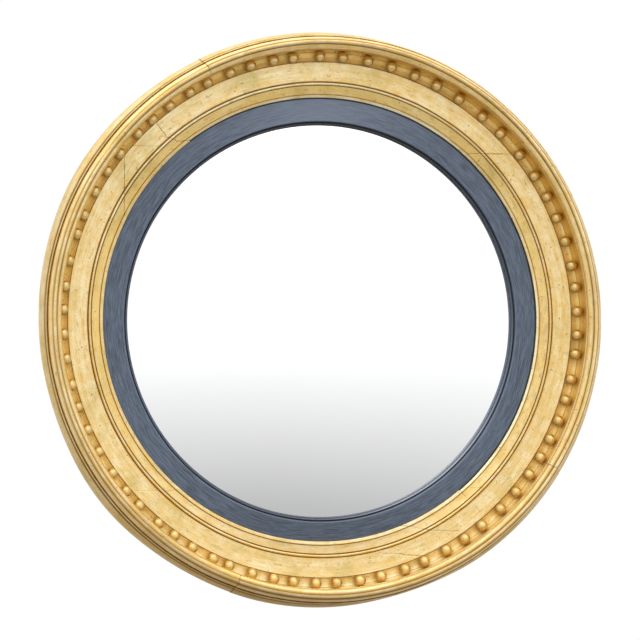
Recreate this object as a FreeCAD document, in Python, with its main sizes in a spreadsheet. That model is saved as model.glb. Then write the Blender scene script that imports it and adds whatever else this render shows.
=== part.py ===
import FreeCAD, Part
import math
import os

import Sketcher

# Convex butler's mirror: a ring frame of gilded softwood, built in two cross-lapped layers with a
# segmented outer moulding, a ring of gilt balls in its hollow, an ebonised slip, a convex mirror
# plate, a boarded back and two hanging rings let into the back.
#
# Everything is drawn as it lies face up on the turner's faceplate: X to the right, Y up the wall,
# Z from the wall towards the room. "Depth" is the height above the wall. Each finished piece is
# then hung: it is turned a quarter about X, so that the front faces -Y and +Z is up.
# Lengths are millimetres and angles are degrees, counter-clockwise from three o'clock.

SIZES = {
    # back ring: the layer against the wall
    "back_ring_thickness": 20.0,
    "back_ring_setback": 1.4,
    "back_ring_chamfer": 2.0,
    "back_joint_offset": 185.0,  # upright joints, this far left and right of the centre
    # slip and the sight edge of the frame that overlaps it
    "slip_face_depth": 30.0,
    "slip_wall_width": 16.5,
    "slip_clearance": 0.5,
    "slip_arris_inset": 3.2,
    "slip_crown": 0.9,
    "slip_quirk_width": 1.2,
    "slip_quirk_drop": 3.0,
    "slip_bead_drop": 1.5,
    "slip_lip_thickness": 2.1,
    "sight_edge_lap": 4.1,
    "sight_edge_thickness": 2.2,
    "sight_fillet_width": 3.9,
    "sight_fillet_rise": 3.7,
    # friezes and the bead between them
    "narrow_frieze_width": 9.2,
    "narrow_frieze_rise": 4.8,
    "step_bead_width": 3.7,
    "wide_frieze_width": 20.8,
    "wide_frieze_rise": 2.4,
    "frieze_hollow": 0.03,
    "quirk_width": 0.9,
    "quirk_depth": 1.2,
    "frieze_joint_offset": 180.0,  # level joints, this far above and below the centre
    # hollow that holds the balls
    "channel_inset": 5.8,
    "channel_lead": 5.0,
    "channel_clearance": 1.5,
    "channel_joint_offset": 4.3,
    "lip_overhang": 3.4,
    "lip_rise": 17.2,
    # outer moulding
    "lip_bead_width": 1.3,
    "lip_bead_rise": 2.3,
    "inner_reed_width": 4.0,
    "inner_reed_rise": 7.4,
    "middle_reed_width": 4.5,
    "middle_reed_rise": 1.0,
    "outer_reed_width": 4.0,
    "outer_reed_drop": 9.5,
    "inner_reed_fullness": 0.36,
    "reed_fullness": 0.42,
    "outer_reed_fullness": 0.10,
    "bead_fullness": 0.30,
    "edge_quirk_drop": 1.7,
    "edge_fillet_width": 1.4,
    "edge_fillet_height": 2.8,
    "side_swell_height": 24.0,
    "side_swell": 4.3,
    "side_swell_return": 1.4,
    "base_step": 2.4,
    "glue_line": 0.2,
    # gilt balls, pegged into the hollow
    "ball_count": 70,
    "ball_radius": 6.0,
    "ball_seat_gap": 0.05,
    "ball_first_angle": 6.5,
    "ball_drift_once": 3.2,  # how far the spacing runs ahead and behind, once, twice and three times a round
    "ball_drift_once_angle": 161.0,
    "ball_drift_twice": 1.0,
    "ball_drift_twice_angle": 87.1,
    "ball_drift_thrice": 1.15,
    "ball_drift_thrice_angle": -35.2,
    "ball_unevenness": 0.45,
    "ball_wander": 0.3,
    "peg_radius": 1.4,
    "peg_length": 8.0,
    "peg_clearance": 0.05,
    # convex mirror plate and what holds it
    "glass_sight_radius": 210.6,
    "glass_rim_lap": 11.4,
    "glass_thickness": 3.5,
    "glass_curvature": 745.0,
    "glass_bed_gap": 0.1,
    "glass_rim_clearance": 1.5,
    "glass_block_count": 8,
    "glass_block_length": 32.0,
    "glass_block_width": 9.0,
    "glass_block_thickness": 3.4,
    "glass_block_gap": 0.2,
    "glass_block_first_angle": 22.5,
    "slip_pin_count": 8,
    "slip_pin_first_angle": 11.0,
    "slip_pin_radius": 0.8,
    "slip_pin_length": 18.0,
    "slip_pin_bite": 9.5,
    # boarded back
    "board_rebate_width": 10.0,
    "board_thickness": 6.0,
    "board_edge_clearance": 0.5,
    "board_bed_gap": 0.05,
    "board_joint_offset": 85.0,
    "board_joint_gap": 0.4,
    # dowels across the joints of both layers
    "dowel_radius": 4.0,
    "dowel_length": 36.0,
    "dowel_clearance": 0.05,
    "frieze_dowel_rise": 8.0,
    # screws: head radius, shank radius, length, and the slack round them
    "board_screw_head": 3.2,
    "board_screw_shank": 1.6,
    "board_screw_length": 15.0,
    "board_screw_count": 12,
    "layer_screw_head": 4.2,
    "layer_screw_shank": 2.2,
    "layer_screw_length": 32.0,
    "strap_screw_head": 3.0,
    "strap_screw_shank": 1.5,
    "strap_screw_length": 12.0,
    "screw_slack": 0.05,
    # hangers, let into the back
    "hanger_angle": 36.0,
    "mortise_width": 28.0,
    "mortise_above": 28.0,
    "mortise_below": 50.0,
    "mortise_depth": 6.0,
    "strap_width": 12.0,
    "strap_length": 46.0,
    "strap_thickness": 1.5,
    "strap_screw_near": 14.0,
    "strap_screw_far": 36.0,
    "wire_radius": 1.3,
    "wire_clearance": 0.05,
    "ring_half_width": 10.3,
    "ring_side_length": 7.0,
    "ring_corner_radius": 3.0,
    "ring_lift": 0.3,
}

# Angles of the glued joints at the two ends of each length of the outer moulding.
MOULDING_JOINTS = {
    "top": (42.0, 117.0),
    "left": (117.0, 250.0),
    "bottom": (250.0, 327.0),
    "right": (327.0, 402.0),
}
# Screws from the back, clear of the joints and of the let-in hangers.
FRIEZE_SCREW_ANGLES = (15.0, 75.0, 105.0, 165.0, 195.0, 255.0, 285.0, 345.0)
MOULDING_SCREW_ANGLES = (10.0, 60.0, 102.0, 170.0, 225.0, 262.0, 312.0, 340.0)
# Heights of the dowels in each upright joint, as shares of the joint face measured from its inner end.
BACK_DOWEL_SHARES = (0.36, 0.64)
FRIEZE_DOWEL_SHARE = 0.52

doc = FreeCAD.newDocument("ConvexMirror")
sheet = doc.addObject("Spreadsheet::Sheet", "Sizes")
for row, (name, value) in enumerate(SIZES.items(), start=1):
    sheet.set(f"A{row}", name)
    sheet.set(f"B{row}", str(value))
    sheet.setAlias(f"B{row}", name)
doc.recompute()

ORIGIN = FreeCAD.Vector(0, 0, 0)
TOWARDS_ROOM = FreeCAD.Vector(0, 0, 1)
HUNG = FreeCAD.Placement(ORIGIN, FreeCAD.Rotation(FreeCAD.Vector(1, 0, 0), 90))
nodes = []


class Size:
    """A length, kept together with the sheet formula that gives it."""

    def __init__(self, value, formula):
        self.value = value
        self.formula = formula

    def __add__(self, other):
        other = as_size(other)
        return Size(self.value + other.value, f"({self.formula} + {other.formula})")

    def __sub__(self, other):
        other = as_size(other)
        return Size(self.value - other.value, f"({self.formula} - {other.formula})")

    def __mul__(self, other):
        other = as_size(other)
        return Size(self.value * other.value, f"({self.formula} * {other.formula})")

    def __truediv__(self, other):
        other = as_size(other)
        return Size(self.value / other.value, f"({self.formula} / {other.formula})")

    def root(self):
        return Size(math.sqrt(self.value), f"sqrt({self.formula})")


def as_size(number):
    """A plain number as a Size, so that the two can be mixed in a sum."""
    return number if isinstance(number, Size) else Size(float(number), repr(float(number)))


def size(name):
    """The driving dimension of that name, read from the sheet."""
    return Size(float(sheet.get(name)), f"Sizes.{name}")


def value(name):
    """The plain number of a driving dimension, for shapes that are placed by loops."""
    return float(sheet.get(name))


def chord(start, end):
    """Straight distance between two section corners."""
    across = end[0] - start[0]
    along = end[1] - start[1]
    return (across * across + along * along).root()


def swelled(start, end, fullness):
    """Radius of the arc from start to end that stands proud of its chord by fullness times the chord."""
    return chord(start, end) * ((fullness * fullness * 4 + 1) / (fullness * 8))


# --- helpers: sketches, turned rings, blocks, joints of solids ---


def draw_section(body, corners):
    """Half section on the body's own XZ plane. Each corner is (radius, depth, edge to the next corner),
    in order round the wood with the wood on the left. An edge is None for a straight one, or
    ("proud" or "hollow", radius) for an arc. Every corner and radius is bound to the sheet."""
    sketch = body.newObject("Sketcher::SketchObject", body.Name + "_section")
    plane = next(feature for feature in body.Origin.OriginFeatures if feature.Role == "XZ_Plane")
    sketch.AttachmentSupport = [(plane, "")]
    sketch.MapMode = "FlatFace"
    first_point = []
    last_point = []
    radii = []
    for index, (radius, depth, edge) in enumerate(corners):
        following = corners[(index + 1) % len(corners)]
        start = FreeCAD.Vector(radius.value, depth.value, 0)
        end = FreeCAD.Vector(following[0].value, following[1].value, 0)
        if edge is None:
            sketch.addGeometry(Part.LineSegment(start, end), False)
            first_point.append(1)
            last_point.append(2)
            continue
        kind, arc_radius = edge
        run = end - start
        left = FreeCAD.Vector(-run.y, run.x, 0).normalize()
        reach = math.sqrt(max(arc_radius.value**2 - (run.Length / 2) ** 2, 0))
        centre = (start + end) / 2 + left * (reach if kind == "proud" else -reach)
        from_point, to_point = (start, end) if kind == "proud" else (end, start)
        angles = [math.atan2(p.y - centre.y, p.x - centre.x) for p in (from_point, to_point)]
        if angles[1] < angles[0]:
            angles[1] += 2 * math.pi
        circle = Part.Circle(centre, FreeCAD.Vector(0, 0, 1), arc_radius.value)
        sketch.addGeometry(Part.ArcOfCircle(circle, angles[0], angles[1]), False)
        first_point.append(1 if kind == "proud" else 2)
        last_point.append(2 if kind == "proud" else 1)
        radii.append((index, arc_radius))
    count = len(corners)
    for index in range(count):
        before = (index - 1) % count
        sketch.addConstraint(
            Sketcher.Constraint("Coincident", before, last_point[before], index, first_point[index])
        )
    for index, (radius, depth, _) in enumerate(corners):
        point = first_point[index]
        if radius.value == 0:
            sketch.addConstraint(Sketcher.Constraint("PointOnObject", index, point, -2))
        else:
            pin(sketch, Sketcher.Constraint("DistanceX", -1, 1, index, point, radius.value), radius)
        if depth.value == 0:
            sketch.addConstraint(Sketcher.Constraint("PointOnObject", index, point, -1))
        else:
            pin(sketch, Sketcher.Constraint("DistanceY", -1, 1, index, point, depth.value), depth)
    for index, arc_radius in radii:
        pin(sketch, Sketcher.Constraint("Radius", index, arc_radius.value), arc_radius)
    return sketch


def pin(sketch, constraint, length):
    """Adds a dimension to a sketch and binds it to the sheet."""
    index = sketch.addConstraint(constraint)
    sketch.setExpression(f"Constraints[{index}]", length.formula)


def turn(name, corners, span=None):
    """A body turned about the mirror's axis from a half section, all the way round or through a span."""
    body = doc.addObject("PartDesign::Body", name)
    sketch = draw_section(body, corners)
    turned = body.newObject("PartDesign::Revolution", name + "_turned")
    turned.Profile = sketch
    turned.ReferenceAxis = (sketch, ["V_Axis"])
    turned.Angle = 360.0 if span is None else span
    doc.recompute()
    return body


def block(name, low, high):
    """A rectangular block between two corners, bound to the sheet."""
    box = doc.addObject("Part::Box", name)
    for corner, far, side, axis in zip(low, high, ("Length", "Width", "Height"), "xyz"):
        box.setExpression(side, (as_size(far) - as_size(corner)).formula)
        box.setExpression(f"Placement.Base.{axis}", as_size(corner).formula)
    return box


def solid(name, shape):
    """A plain feature that holds a shape worked out here from the sheet's sizes."""
    feature = doc.addObject("Part::Feature", name)
    feature.Shape = shape
    return feature


def cut(name, base, tool):
    """base with tool taken out of it."""
    feature = doc.addObject("Part::Cut", name)
    feature.Base = base
    feature.Tool = tool
    return feature


def common(name, base, tool):
    """What base and tool share."""
    feature = doc.addObject("Part::Common", name)
    feature.Base = base
    feature.Tool = tool
    return feature


def hang(feature, name, lying=FreeCAD.Placement()):
    """Names a finished piece after its node and turns it up to hang on the wall."""
    feature.Label = name
    feature.Placement = HUNG.multiply(lying)
    nodes.append(feature)
    return feature


def polar(radius, angle, depth=0.0):
    """A point by its distance and angle about the mirror's axis."""
    turned = math.radians(angle)
    return FreeCAD.Vector(radius * math.cos(turned), radius * math.sin(turned), depth)


def round_the_ring(count, first=0.0):
    """Evenly spaced angles."""
    return [first + 360.0 * index / count for index in range(count)]


# --- the sections, as corners that run from the sight edge outwards ---

back_top = size("back_ring_thickness")
glass_radius = size("glass_sight_radius") + size("glass_rim_lap")
shelf_radius = glass_radius + size("glass_rim_clearance")
slip_radius = shelf_radius + size("slip_wall_width")
rebate_radius = slip_radius + size("slip_clearance")
half_quirk = size("quirk_width") / 2
slip_face = size("slip_face_depth")

# radii of the lines between the mouldings
sight_edge = slip_radius - size("sight_edge_lap")
fillet_line = sight_edge + size("sight_fillet_width")
bead_inner_line = fillet_line + size("narrow_frieze_width")
bead_outer_line = bead_inner_line + size("step_bead_width")
frieze_edge = bead_outer_line + size("wide_frieze_width")
channel_middle = frieze_edge + size("channel_inset")
channel_arc = size("ball_radius") + size("channel_clearance")
channel_joint = channel_middle + size("channel_joint_offset")

# depths of the lines between the mouldings
fillet_depth = slip_face + size("sight_fillet_rise")
bead_depth = fillet_depth + size("narrow_frieze_rise")
frieze_edge_depth = bead_depth + size("wide_frieze_rise")
quirk = size("quirk_depth")


def channel_rise(offset):
    """How far the hollow's floor has climbed at that distance from its middle."""
    return channel_arc - (channel_arc * channel_arc - offset * offset).root()


channel_floor = frieze_edge_depth - channel_rise(size("channel_lead"))
channel_centre_depth = channel_floor + channel_arc
sight_edge_top = slip_face + size("sight_edge_thickness")
frieze_underside = slip_face + size("glass_bed_gap")

frieze_corners = [
    (rebate_radius, back_top, None),
    (channel_joint, back_top, None),
    (channel_joint, channel_floor + channel_rise(size("channel_joint_offset")), ("hollow", channel_arc)),
    (channel_middle - size("channel_lead"), frieze_edge_depth, None),
    (frieze_edge + half_quirk, frieze_edge_depth - quirk, None),
    (frieze_edge, frieze_edge_depth, "wide frieze"),
    (bead_outer_line + half_quirk, bead_depth, None),
    (bead_outer_line, bead_depth - quirk, None),
    (bead_outer_line - half_quirk, bead_depth, "step bead"),
    (bead_inner_line + half_quirk, bead_depth, None),
    (bead_inner_line, bead_depth - quirk, None),
    (bead_inner_line - half_quirk, bead_depth, "narrow frieze"),
    (fillet_line + half_quirk, fillet_depth, None),
    (fillet_line, fillet_depth - quirk, None),
    (fillet_line - half_quirk, fillet_depth, None),
    (sight_edge, sight_edge_top, None),
    (sight_edge, frieze_underside, None),
    (rebate_radius, frieze_underside, None),
]

# outer moulding: from the glue line, round the side, over the reeds and down the hollow
moulding_inside = channel_joint + size("glue_line")
moulding_floor = back_top + size("glue_line")
hollow_deepest = channel_middle + channel_arc
lip_radius = hollow_deepest - size("lip_overhang")
lip_depth = channel_centre_depth + size("lip_rise")
lip_valley = lip_radius + size("lip_bead_width")
lip_valley_depth = lip_depth + size("lip_bead_rise")
reed_valley = lip_valley + size("inner_reed_width")
reed_valley_depth = lip_valley_depth + size("inner_reed_rise")
outer_valley = reed_valley + size("middle_reed_width")
outer_valley_depth = reed_valley_depth + size("middle_reed_rise")
reed_foot = outer_valley + size("outer_reed_width")
reed_foot_depth = outer_valley_depth - size("outer_reed_drop")
edge_inner = reed_foot + size("quirk_width")
edge_top = reed_foot_depth - half_quirk
edge_outer = edge_inner + size("edge_fillet_width")
edge_bottom = edge_top - size("edge_fillet_height")
swell_top = edge_bottom - size("quirk_width")
swell_bottom = swell_top - size("side_swell_height")
swell_foot = edge_outer + size("side_swell_return")
base_radius = swell_foot - size("base_step")
swell_chord = chord((swell_foot, swell_bottom), (edge_outer, swell_top))
swell_proud = size("side_swell")
hollow_back_arc = (
    size("lip_overhang") * size("lip_overhang") + size("lip_rise") * size("lip_rise")
) / (size("lip_overhang") * 2)
joint_rise = channel_floor + channel_rise(size("channel_joint_offset") + size("glue_line"))

moulding_corners = [
    (moulding_inside, moulding_floor, None),
    (base_radius, moulding_floor, None),
    (base_radius, swell_bottom - size("quirk_width"), None),
    (swell_foot, swell_bottom, ("proud", (swell_chord * swell_chord / (swell_proud * 8)) + swell_proud / 2)),
    (edge_outer, swell_top, None),
    (edge_inner, swell_top + half_quirk, None),
    (edge_outer, edge_bottom, None),
    (edge_outer, edge_top, None),
    (edge_inner, edge_top, None),
    (reed_foot + half_quirk, edge_top - size("edge_quirk_drop"), None),
    (reed_foot, reed_foot_depth, "outer reed"),
    (outer_valley, outer_valley_depth, "reed"),
    (reed_valley, reed_valley_depth, "inner reed"),
    (lip_valley, lip_valley_depth, "lip bead"),
    (lip_radius, lip_depth, ("hollow", hollow_back_arc)),
    (hollow_deepest, channel_centre_depth, ("hollow", channel_arc)),
    (moulding_inside, joint_rise, None),
]

# slip: a flat ebonised ring with a bead at its sight edge and a rebate behind for the glass
arris_radius = size("glass_sight_radius") + size("slip_arris_inset")
arris_depth = slip_face + size("slip_crown")
bead_top_radius = arris_radius - size("slip_quirk_width")
bead_top_depth = arris_depth - size("slip_quirk_drop")
bead_foot_depth = bead_top_depth - size("slip_bead_drop")
shelf_depth = bead_foot_depth - size("slip_lip_thickness")

# convex plate: two spheres about one centre on the axis, behind the wall
glass_sphere = size("glass_curvature")
glass_back_sphere = glass_sphere - size("glass_thickness")
glass_sight_depth = shelf_depth - size("glass_bed_gap")


def sphere_reach(sphere, radius):
    """Depth of a sphere above its centre, at that distance from the axis."""
    return (sphere * sphere - radius * radius).root()


glass_centre = glass_sight_depth - sphere_reach(glass_sphere, size("glass_sight_radius"))
rim_back = glass_centre + sphere_reach(glass_back_sphere, glass_radius)
rim_front = glass_centre + sphere_reach(glass_sphere, glass_radius)
slip_foot = rim_back - size("glass_block_thickness")

slip_corners = [
    (shelf_radius, slip_foot, None),
    (slip_radius, slip_foot, None),
    (slip_radius, slip_face, None),
    (sight_edge, slip_face, None),
    (arris_radius, arris_depth, None),
    (bead_top_radius, bead_top_depth - size("slip_quirk_width"), None),
    (bead_top_radius - size("slip_quirk_width") / 2, bead_top_depth, "sight bead"),
    (size("glass_sight_radius"), bead_foot_depth, None),
    (size("glass_sight_radius"), shelf_depth, None),
    (shelf_radius, shelf_depth, None),
]

on_axis = as_size(0)
plate_corners = [
    (on_axis, glass_centre + glass_back_sphere, ("hollow", glass_back_sphere)),
    (glass_radius, rim_back, None),
    (glass_radius, rim_front, ("proud", glass_sphere)),
    (on_axis, glass_centre + glass_sphere, None),
]

board_rebate_radius = rebate_radius + size("board_rebate_width")
board_radius = board_rebate_radius - size("board_edge_clearance")
board_rebate_depth = size("board_thickness") + size("board_bed_gap")
chamfer = size("back_ring_chamfer")
back_radius = base_radius - size("back_ring_setback")
back_corners = [
    (board_rebate_radius, as_size(0), None),
    (back_radius - chamfer, as_size(0), None),
    (back_radius, chamfer, None),
    (back_radius, back_top, None),
    (rebate_radius, back_top, None),
    (rebate_radius, board_rebate_depth, None),
    (board_rebate_radius, board_rebate_depth, None),
]


def with_arcs(corners, arcs):
    """Turns each named edge into its arc, whose radius follows from the two corners it joins."""
    finished = []
    for index, (radius, depth, edge) in enumerate(corners):
        if isinstance(edge, str):
            kind, fullness = arcs[edge]
            following = corners[(index + 1) % len(corners)]
            edge = (kind, swelled((radius, depth), following, fullness))
        finished.append((radius, depth, edge))
    return finished


FRIEZE_ARCS = {
    "wide frieze": ("hollow", size("frieze_hollow")),
    "narrow frieze": ("hollow", size("frieze_hollow")),
    "step bead": ("proud", size("reed_fullness")),
}
MOULDING_ARCS = {
    "outer reed": ("proud", size("outer_reed_fullness")),
    "reed": ("proud", size("reed_fullness")),
    "inner reed": ("proud", size("inner_reed_fullness")),
    "lip bead": ("proud", size("bead_fullness")),
}
SLIP_ARCS = {"sight bead": ("proud", size("bead_fullness"))}

# --- screws: a countersunk, slotted head at the bottom of the depth range, pointing at the room ---


def screw(head, shank, length):
    """One wood screw on the axis: cone head flush with zero depth, shank, point and slot."""
    head_depth = head - shank
    point = 2 * shank
    body = Part.makeCone(head, shank, head_depth)
    body = body.fuse(Part.makeCylinder(shank, length - point - head_depth, FreeCAD.Vector(0, 0, head_depth)))
    body = body.fuse(Part.makeCone(shank, shank / 4, point, FreeCAD.Vector(0, 0, length - point)))
    slot_width = shank / 2
    slot = Part.makeBox(2 * head, slot_width, head_depth / 2, FreeCAD.Vector(-head, -slot_width / 2, 0))
    return body.cut(slot).removeSplitter()


def screw_hole(head, shank, length):
    """The countersink and bore that such a screw sits in, with its slack all round."""
    slack = value("screw_slack")
    head_depth = head - shank
    hole = Part.makeCone(head + slack, shank + slack, head_depth)
    bore = Part.makeCylinder(shank + slack, length + slack - head_depth, FreeCAD.Vector(0, 0, head_depth))
    return hole.fuse(bore).removeSplitter()


def placed(shape, spots):
    """Copies of a shape at points, or at placements."""
    copies = []
    for spot in spots:
        if not isinstance(spot, FreeCAD.Placement):
            spot = FreeCAD.Placement(spot, FreeCAD.Rotation())
        copy = shape.copy()
        copy.Placement = spot
        copies.append(copy)
    return Part.makeCompound(copies)


def screw_sizes(kind):
    return [value(f"{kind}_screw_{part}") for part in ("head", "shank", "length")]


frieze_screw_ring = (rebate_radius.value + channel_joint.value) / 2
moulding_screw_ring = (moulding_inside.value + back_radius.value) / 2
board_screw_ring = (rebate_radius.value + board_rebate_radius.value) / 2
frieze_screw_spots = [polar(frieze_screw_ring, angle) for angle in FRIEZE_SCREW_ANGLES]
moulding_screw_spots = [polar(moulding_screw_ring, angle) for angle in MOULDING_SCREW_ANGLES]
layer_screw_spots = frieze_screw_spots + moulding_screw_spots
board_screw_angles = round_the_ring(int(value("board_screw_count")), 180.0 / value("board_screw_count"))
board_screw_spots = [polar(board_screw_ring, angle) for angle in board_screw_angles]
layer_holes = placed(screw_hole(*screw_sizes("layer")), layer_screw_spots)
board_holes = placed(screw_hole(*screw_sizes("board")), board_screw_spots)

# --- dowels: across the upright joints of the back ring and the level joints of the frieze ring ---


def joint_span(offset, inner, outer):
    """Where a straight joint enters and leaves the ring, measured along the joint from the centre line."""
    return math.sqrt(inner**2 - offset**2), math.sqrt(outer**2 - offset**2)


def dowels(radius, length):
    """The back ring's dowels lie level, the frieze ring's stand upright, each centred on its joint."""
    back_inner, back_outer = joint_span(
        value("back_joint_offset"), rebate_radius.value, back_radius.value
    )
    frieze_inner, frieze_outer = joint_span(
        value("frieze_joint_offset"), rebate_radius.value, channel_joint.value
    )
    back_depth = (value("mortise_depth") + back_top.value) / 2
    frieze_depth = back_top.value + value("frieze_dowel_rise")
    back = []
    frieze = []
    for across in (-1, 1):
        for up in (-1, 1):
            for share in BACK_DOWEL_SHARES:
                height = up * (back_inner + share * (back_outer - back_inner))
                start = across * value("back_joint_offset") - length / 2
                spot = FreeCAD.Vector(start, height, back_depth)
                back.append(Part.makeCylinder(radius, length, spot, FreeCAD.Vector(1, 0, 0)))
            side = across * (frieze_inner + FRIEZE_DOWEL_SHARE * (frieze_outer - frieze_inner))
            start = up * value("frieze_joint_offset") - length / 2
            spot = FreeCAD.Vector(side, start, frieze_depth)
            frieze.append(Part.makeCylinder(radius, length, spot, FreeCAD.Vector(0, 1, 0)))
    return Part.makeCompound(back), Part.makeCompound(frieze)


back_dowels, frieze_dowels = dowels(value("dowel_radius"), value("dowel_length"))
back_dowel_holes, frieze_dowel_holes = dowels(
    value("dowel_radius") + value("dowel_clearance"), value("dowel_length") + 2 * value("dowel_clearance")
)

# --- hangers: where the two let-in hangers lie, and the recess that each needs ---

hanger_radius = (board_rebate_radius.value + back_radius.value - chamfer.value) / 2
hanger_spots = []
for side, angle in (("right", value("hanger_angle")), ("left", 180.0 - value("hanger_angle"))):
    leaning = angle if side == "right" else angle - 180.0
    turned = FreeCAD.Rotation(TOWARDS_ROOM, leaning)
    hanger_spots.append((side, FreeCAD.Placement(polar(hanger_radius, angle), turned)))


def mortise():
    """A round-ended recess: its long way runs round the ring, with the ring's pivot at its zero."""
    half = value("mortise_width") / 2
    top = value("mortise_above") - half
    bottom = half - value("mortise_below")
    trench = Part.makeBox(2 * half, top - bottom, value("mortise_depth"), FreeCAD.Vector(-half, bottom, 0))
    for end in (top, bottom):
        trench = trench.fuse(Part.makeCylinder(half, value("mortise_depth"), FreeCAD.Vector(0, end, 0)))
    return trench.removeSplitter()


mortises = placed(mortise(), [spot for _, spot in hanger_spots])
strap_face = value("mortise_depth") - value("strap_thickness")
strap_screw_steps = (value("strap_screw_near"), value("strap_screw_far"))
strap_holes = placed(
    screw_hole(*screw_sizes("strap")), [FreeCAD.Vector(0, -step, strap_face) for step in strap_screw_steps]
)
strap_screws = placed(
    screw(*screw_sizes("strap")), [FreeCAD.Vector(0, -step, strap_face) for step in strap_screw_steps]
)

# --- slip pins: headless brads driven outwards into the back ring, under the foot of the slip ---


def slip_pins(radius, length, bite):
    """Brads lying level, their outer ends that far into the wood."""
    pins = []
    outer = rebate_radius.value + bite
    depth = slip_foot.value - value("slip_pin_radius") - value("screw_slack")
    for angle in round_the_ring(int(value("slip_pin_count")), value("slip_pin_first_angle")):
        outward = polar(1, angle)
        inner_end = outward * (outer - length) + TOWARDS_ROOM * depth
        pins.append(Part.makeCylinder(radius, length, inner_end, outward))
    return Part.makeCompound(pins)


pins = slip_pins(value("slip_pin_radius"), value("slip_pin_length"), value("slip_pin_bite"))
pin_holes = slip_pins(
    value("slip_pin_radius") + value("screw_slack"),
    value("slip_pin_length"),
    value("slip_pin_bite") + value("screw_slack"),
)

# --- back ring: four boards, sawn round, rebated for the backboards, joined on two upright lines ---

back_ring = turn("back_ring", back_corners)
back_cuts = solid(
    "back_ring_cuts",
    Part.makeCompound(
        [layer_holes, board_holes, back_dowel_holes, mortises, pin_holes]
        + [placed(strap_holes, [spot for _, spot in hanger_spots])]
    ),
)
back_ring_cut = cut("back_ring_cut", back_ring, back_cuts)
far = back_radius * 2
half_gap = size("glue_line") / 2
joint = size("back_joint_offset")
no_size = as_size(0)
BACK_PIECES = {
    "back_ring_left_stile": ((no_size - far, no_size - far), (no_size - joint - half_gap, far)),
    "back_ring_right_stile": ((joint + half_gap, no_size - far), (far, far)),
    "back_ring_top_rail": ((half_gap - joint, no_size), (joint - half_gap, far)),
    "back_ring_bottom_rail": ((half_gap - joint, no_size - far), (joint - half_gap, no_size)),
}
for name, (low, high) in BACK_PIECES.items():
    region = block(name + "_region", (*low, no_size), (*high, far))
    hang(common(name + "_cut", back_ring_cut, region), name)

# --- frieze ring: the second layer, four boards joined on two level lines and turned in one piece ---


def ball_seats():
    """Angle and distance from the axis of each ball: spaced by eye, so the pitch drifts and wavers."""
    count = int(value("ball_count"))
    waves = [
        (times, value(name), value(name + "_angle"))
        for times, name in enumerate(("ball_drift_once", "ball_drift_twice", "ball_drift_thrice"), 1)
    ]
    seats = []
    for index, angle in enumerate(round_the_ring(count, value("ball_first_angle"))):
        drift = sum(most * math.cos(times * math.radians(angle - ahead)) for times, most, ahead in waves)
        waver = value("ball_unevenness") * math.sin(2.4 * index * index)
        wander = value("ball_wander") * math.sin(1.7 * index * index + 1.0)
        seats.append((angle + drift + waver, channel_middle.value + wander))
    return seats


def ball_pegs(radius, length):
    """Upright pegs under the balls, from the floor of the hollow down."""
    floor = channel_floor.value
    peg = Part.makeCylinder(radius, length + channel_arc.value / 2, FreeCAD.Vector(0, 0, floor - length))
    return placed(peg, [polar(distance, angle) for angle, distance in ball_seats()])


peg_clearance = value("peg_clearance")
frieze_ring = turn("frieze_ring", with_arcs(frieze_corners, FRIEZE_ARCS))
frieze_cuts = solid(
    "frieze_ring_cuts",
    Part.makeCompound(
        [
            placed(screw_hole(*screw_sizes("layer")), frieze_screw_spots),
            frieze_dowel_holes,
            ball_pegs(value("peg_radius") + peg_clearance, value("peg_length") + peg_clearance),
        ]
    ),
)
frieze_ring_cut = cut("frieze_ring_cut", frieze_ring, frieze_cuts)
level = size("frieze_joint_offset")
FRIEZE_PIECES = {
    "frieze_top_rail": ((no_size - far, level + half_gap), (far, far)),
    "frieze_bottom_rail": ((no_size - far, no_size - far), (far, no_size - level - half_gap)),
    "frieze_left_stile": ((no_size - far, half_gap - level), (no_size, level - half_gap)),
    "frieze_right_stile": ((no_size, half_gap - level), (far, level - half_gap)),
}
for name, (low, high) in FRIEZE_PIECES.items():
    region = block(name + "_region", (*low, no_size), (*high, far))
    hang(common(name + "_cut", frieze_ring_cut, region), name)

# --- outer moulding: lip, reeds and swelled side, run in four lengths and glued round the frieze ring ---

for side, (start, end) in MOULDING_JOINTS.items():
    name = f"outer_moulding_{side}"
    open_angle = math.degrees(value("glue_line") / moulding_inside.value)
    length = turn(name + "_run", with_arcs(moulding_corners, MOULDING_ARCS), span=end - start - open_angle)
    length.Placement = FreeCAD.Placement(ORIGIN, FreeCAD.Rotation(TOWARDS_ROOM, start + open_angle / 2))
    inside = [
        spot
        for spot, angle in zip(moulding_screw_spots, MOULDING_SCREW_ANGLES)
        if start < angle < end or start < angle + 360.0 < end
    ]
    holes = solid(name + "_holes", placed(screw_hole(*screw_sizes("layer")), inside))
    hang(cut(name + "_cut", length, holes), name)

# --- gilt balls: turned balls with a peg each, pegged into the floor of the hollow ---

ball_centre = channel_floor.value + value("ball_seat_gap") + value("ball_radius")
ball = Part.makeSphere(value("ball_radius"), FreeCAD.Vector(0, 0, ball_centre))
peg_end = channel_floor.value - value("peg_length")
peg = Part.makeCylinder(value("peg_radius"), ball_centre - peg_end, FreeCAD.Vector(0, 0, peg_end))
pegged_ball = ball.fuse(peg).removeSplitter()
balls = placed(pegged_ball, [polar(distance, angle) for angle, distance in ball_seats()])
hang(solid("gilt_balls", balls), "gilt_balls")

# --- slip, mirror plate, and the blocks and pins behind them ---

hang(turn("ebonised_slip_body", with_arcs(slip_corners, SLIP_ARCS)), "ebonised_slip")
hang(turn("mirror_plate_body", plate_corners), "mirror_plate")

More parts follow.
